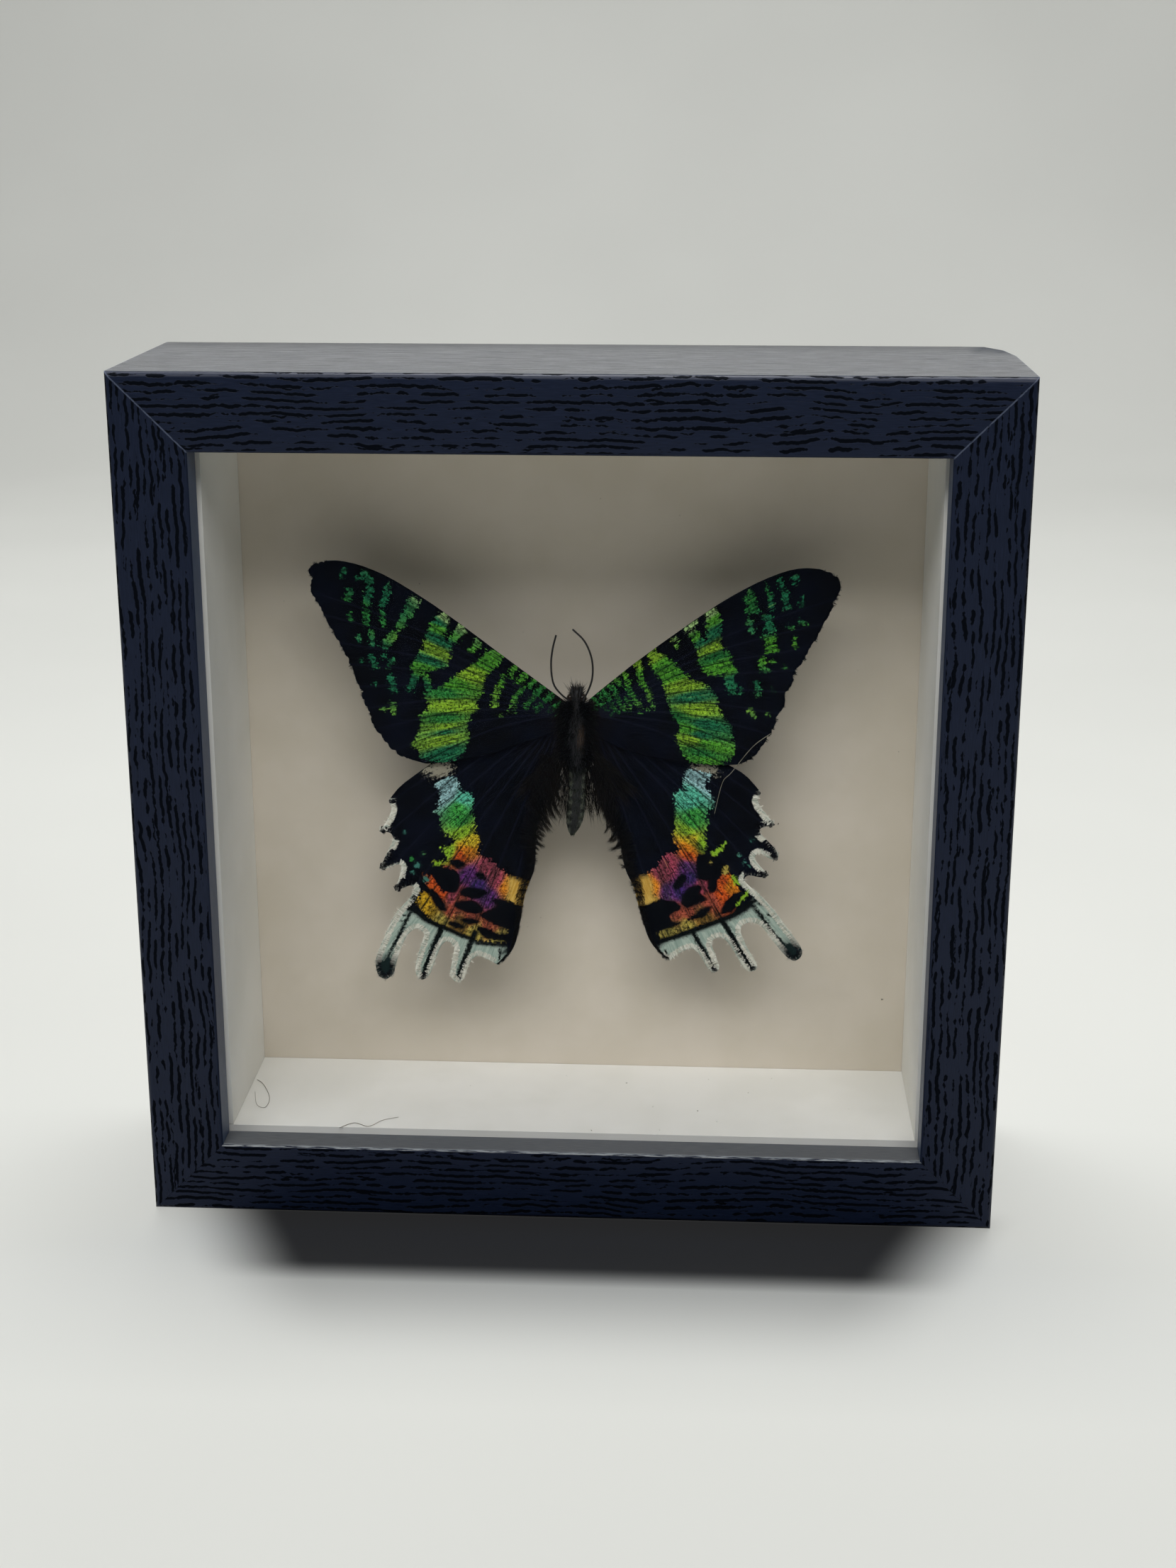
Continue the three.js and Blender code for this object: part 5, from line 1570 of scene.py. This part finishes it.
def tube(name, route, radius, endRadius, material, sides=8):
    # a round strand along a route of points
    run = np.gradient(route, axis=0)
    run /= np.linalg.norm(run, axis=1)[:, None]
    sideA = np.cross(run, [0.3, 1.0, 0.2])
    sideA /= np.linalg.norm(sideA, axis=1)[:, None]
    sideB = np.cross(run, sideA)
    points = []
    for i in range(len(route)):
        r = radius + (endRadius - radius) * i / (len(route) - 1)
        for t in np.linspace(0, 2 * math.pi, sides, endpoint=False):
            points.append(route[i] + r * (math.cos(t) * sideA[i] + math.sin(t) * sideB[i]))
    made = makeObject(name, points, ringFaces(len(route), sides), material)
    outward(made)
    return made


def eyeMaterial():
    material, tree, shader = newMaterial("eye", 0.22)
    facets = addNode(tree, "TexVoronoi", {"Vector": objectPlace(tree), "Scale": 14000.0}).outputs[0]
    colour = mixColour(tree, facets, linear(body["eyeDark"]), linear(body["eyeLight"]))
    plug(tree, shader, colour=colour, normal=bumped(tree, facets, 0.3, 0.02 * mm))
    return material


def limbMaterial():
    material, tree, shader = newMaterial("limbs", 0.5)
    grain = noise(tree, objectPlace(tree), 3000.0, 4.0, 0.7)
    share = between(tree, grain, 0.35, 0.7)
    colour = mixColour(tree, share, linear(body["limbDark"]), linear(body["limbLight"]))
    plug(tree, shader, colour=colour, normal=bumped(tree, grain, 0.4, 0.04 * mm))
    return material


def addEye(side, hand, material):
    aside, back, up = body["eyePlace"]
    shape = bmesh.new()
    bmesh.ops.create_uvsphere(shape, u_segments=24, v_segments=16, radius=body["eye"] * mm)
    mesh = bpy.data.meshes.new("eye-" + side)
    shape.to_mesh(mesh)
    shape.free()
    mesh.materials.append(material)
    mesh.transform(Matrix.Translation((hand * aside * mm, back * mm, (wings["shoulder"] + up) * mm)))
    mesh.polygons.foreach_set("use_smooth", [True] * len(mesh.polygons))
    made = bpy.data.objects.new("eye-" + side, mesh)
    bpy.context.scene.collection.objects.link(made)
    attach(made, "root")


def addPalp(side, hand, material):
    route = [(hand * x, y, z) for x, y, z in body["palp"]]
    palp = tube("palp-" + side, rounded(route, closed=False, steps=6), 0.34, 0.12, material)
    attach(palp, "root")


limbs = limbMaterial()
for limb in ("antenna", "leg_front", "leg_middle", "leg_hind"):
    for side in ("left", "right"):
        dress(f"{limb}_{side}", limbs)

addBodyCore()
addThoraxFur()
addHeadFur()
addAbdomenScales()
eyes = eyeMaterial()
for hand, side in ((-1, "left"), (1, "right")):
    addEye(side, hand, eyes)
    addPalp(side, hand, limbs)
print("body furred")


# Stray hairs and dust, where the photograph shows them. Each place is sideways, behind the
# frame's front and up from the floor.

strays = {
    "paleHair": ("#b9b39c", [(34.6, 22.8, 84.5), (31.4, 23.0, 81.9), (27.8, 23.1, 77.1),
                             (26.2, 23.2, 75.1), (24.9, 23.3, 69.3)]),
    "floorHair": ("#6f5c3e", [(-42.1, 7.1, 13.5), (-39.7, 9.3, 13.5), (-36.9, 8.0, 13.5),
                              (-34.7, 10.7, 13.5), (-32.0, 12.1, 13.5)]),
    "loopHair": ("#6a5940", [(-61.0, 26.9, 13.5), (-59.4, 24.8, 13.5), (-57.2, 19.2, 13.5),
                             (-57.2, 14.9, 13.5), (-59.0, 16.1, 13.5), (-60.4, 21.6, 13.5)]),
}

specks = {
    "count": 46,
    "size": (0.10, 0.28),
    "floorAt": 13.45,
    "cardAt": 15.1,
    "dark": "#4d473c",
    "light": "#8f8a7c",
}


def addStrayHair(name):
    colour, places = strays[name]
    route = np.array(places) - np.array([0.0, rails["depth"] / 2, 0.0])
    if name == "paleHair":
        route[:, 1] = 2.0 - wings["rise"] * np.abs(route[:, 0])  # it lies across the right wings
    material, tree, shader = newMaterial(name, 0.5)
    shade = noise(tree, objectPlace(tree), 900.0)
    plug(tree, shader, colour=mixColour(tree, shade, linear(colour), linear("#3d3427")))
    made = tube("stray-" + name, rounded(route, closed=False, steps=6), 0.05, 0.03, material, 5)
    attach(made, "root")


def addDust():
    material, tree, shader = newMaterial("dust", 0.9)
    shade = between(tree, noise(tree, objectPlace(tree), 300.0), 0.4, 0.6)
    plug(tree, shader, colour=mixColour(tree, shade, linear(specks["dark"]), linear(specks["light"])))
    points, faces = [], []
    for k in range(specks["count"]):
        size = chance.uniform(*specks["size"])
        if k % 3 == 0:
            middle = np.array([chance.uniform(-60, 60), chance.uniform(-14, 14), specks["floorAt"]])
        else:
            middle = np.array([chance.uniform(-60, 60), specks["cardAt"], chance.uniform(18, 134)])
        flake = middle + chance.normal(0, size * 0.5, (5, 3)) * np.array([1.0, 0.25, 1.0])
        first = len(points)
        points += flake.tolist()
        faces += [(first, first + j, first + j + 1) for j in (1, 2, 3)]
    made = makeObject("dust", points, faces, material, smooth=False)
    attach(made, "root")


for hairName in strays:
    addStrayHair(hairName)
addDust()
print("dust settled")


# The studio: a pale sweep, light from above and from all round

studio = {
    "sweep": "#dcddd8",
    "sweepTint": "#d6d7d2",
    "depth": 0.75,
    "curve": 0.45,
    "height": 2.2,
    "world": "#e6e9ec",
    "worldStrength": 0.05,
    # the dark place in front of the frame: half widths and depths in mm
    "shadeMiddle": 3.0,
    "shadeInner": 55.0,
    "shadeOuter": 77.0,
    "shadeFull": 17.0,
    "shadeEnd": 29.0,
    "shadeSlope": 0.45,
    "shadeBehind": 8.0,
    "fadeEnd": 50.0,
    "fade": 0.46,
    "shade": "#050609",
    # name, place, aim, width, height, watts, what it lights
    "lamps": [
        ("key", (0.0, 0.150, 0.85), (0.0, 0.0, 0.0), 0.40, 0.22, 2.8, "all"),
        ("partTop", (0.0, 0.110, 0.82), (0.0, 0.0, 0.0), 0.40, 0.08, 4.6, "part"),
        ("front", (-0.05, -0.50, 0.70), (0.0, 0.0, 0.07), 0.95, 0.35, 6.0, "part"),
        ("floor", (0.0, 0.0, 1.60), (0.0, 0.0, 0.0), 0.60, 0.60, 17.8, "sweep"),
        ("backdrop", (0.0, 0.45, 0.75), (0.0, 1.10, 0.05), 1.4, 0.3, 1.1, "sweep"),
    ],
}


def contactShade(tree, place):
    # the deep shadow on the floor close before the frame, narrower further out
    parts = addNode(tree, "SeparateXYZ", {0: place}).outputs
    front = sums(tree, "SUBTRACT", -rails["depth"] / 2 * mm, parts[1])
    depth = between(tree, front, studio["shadeFull"] * mm, studio["shadeEnd"] * mm, 1.0, 0.0)
    fade = between(tree, front, studio["shadeFull"] * mm, studio["fadeEnd"] * mm, studio["fade"], 0.0)
    depth = sums(tree, "MAXIMUM", depth, fade)
    behind = between(tree, front, -studio["shadeBehind"] * mm, 0.0)
    aside = sums(tree, "SUBTRACT", parts[0], studio["shadeMiddle"] * mm)
    narrowing = sums(tree, "MULTIPLY", front, studio["shadeSlope"])
    reach = sums(tree, "ADD", sums(tree, "ABSOLUTE", aside), narrowing)
    side = between(tree, reach, studio["shadeInner"] * mm, studio["shadeOuter"] * mm, 1.0, 0.0)
    return sums(tree, "MULTIPLY", sums(tree, "MULTIPLY", depth, behind), side)


def addSweep():
    # floor, curve and backdrop, as places going back and up in metres
    depth, curve = studio["depth"], studio["curve"]
    profile = [(-2.0, 0.0), (-1.0, 0.0), (0.0, 0.0), (depth, 0.0)]
    for t in np.linspace(0, math.pi / 2, 24)[1:]:
        profile.append((depth + curve * math.sin(t), curve * (1 - math.cos(t))))
    profile.append((depth + curve, studio["height"]))
    points = [(x / mm, y / mm, z / mm) for y, z in profile for x in (-2.5, 2.5)]
    faces = [(2 * i, 2 * i + 1, 2 * i + 3, 2 * i + 2) for i in range(len(profile) - 1)]
    material, tree, shader = newMaterial("sweep", 0.75)
    place = objectPlace(tree)
    soft = noise(tree, place, 3.0)
    share = between(tree, soft, 0.3, 0.7)
    colour = mixColour(tree, share, linear(studio["sweep"]), linear(studio["sweepTint"]))
    colour = mixColour(tree, contactShade(tree, place), colour, linear(studio["shade"]))
    plug(tree, shader, colour=colour)
    sweep = makeObject("sweep", points, faces, material)


def addLamp(name, place, aim, width, height, power, lights, groups):
    data = bpy.data.lights.new(name, "AREA")
    data.shape = "RECTANGLE"
    data.size, data.size_y = width, height
    data.energy = power
    lamp = bpy.data.objects.new(name, data)
    lamp.location = place
    lamp.rotation_euler = (Vector(aim) - Vector(place)).to_track_quat("-Z", "Y").to_euler()
    bpy.context.scene.collection.objects.link(lamp)
    if lights in groups:
        lamp.light_linking.receiver_collection = groups[lights]
    if lights == "sweep":
        lamp.light_linking.blocker_collection = groups["sweep"]


def lightGroups():
    # one lamp lights the part alone and another the backdrop alone, as flags in a studio do
    groups = {}
    for name in ("part", "sweep"):
        groups[name] = bpy.data.collections.new("lit-" + name)
    for made in list(bpy.context.scene.objects):
        if made.type == "MESH":
            groups["sweep" if made.name == "sweep" else "part"].objects.link(made)
    return groups


addSweep()
groups = lightGroups()
for lampSettings in studio["lamps"]:
    addLamp(*lampSettings, groups)
world = bpy.data.worlds.new("tent")
bpy.context.scene.world = world
world.use_nodes = True
sky = world.node_tree.nodes["Background"]
sky.inputs["Color"].default_value = linear(studio["world"])
sky.inputs["Strength"].default_value = studio["worldStrength"]
print("studio lit")
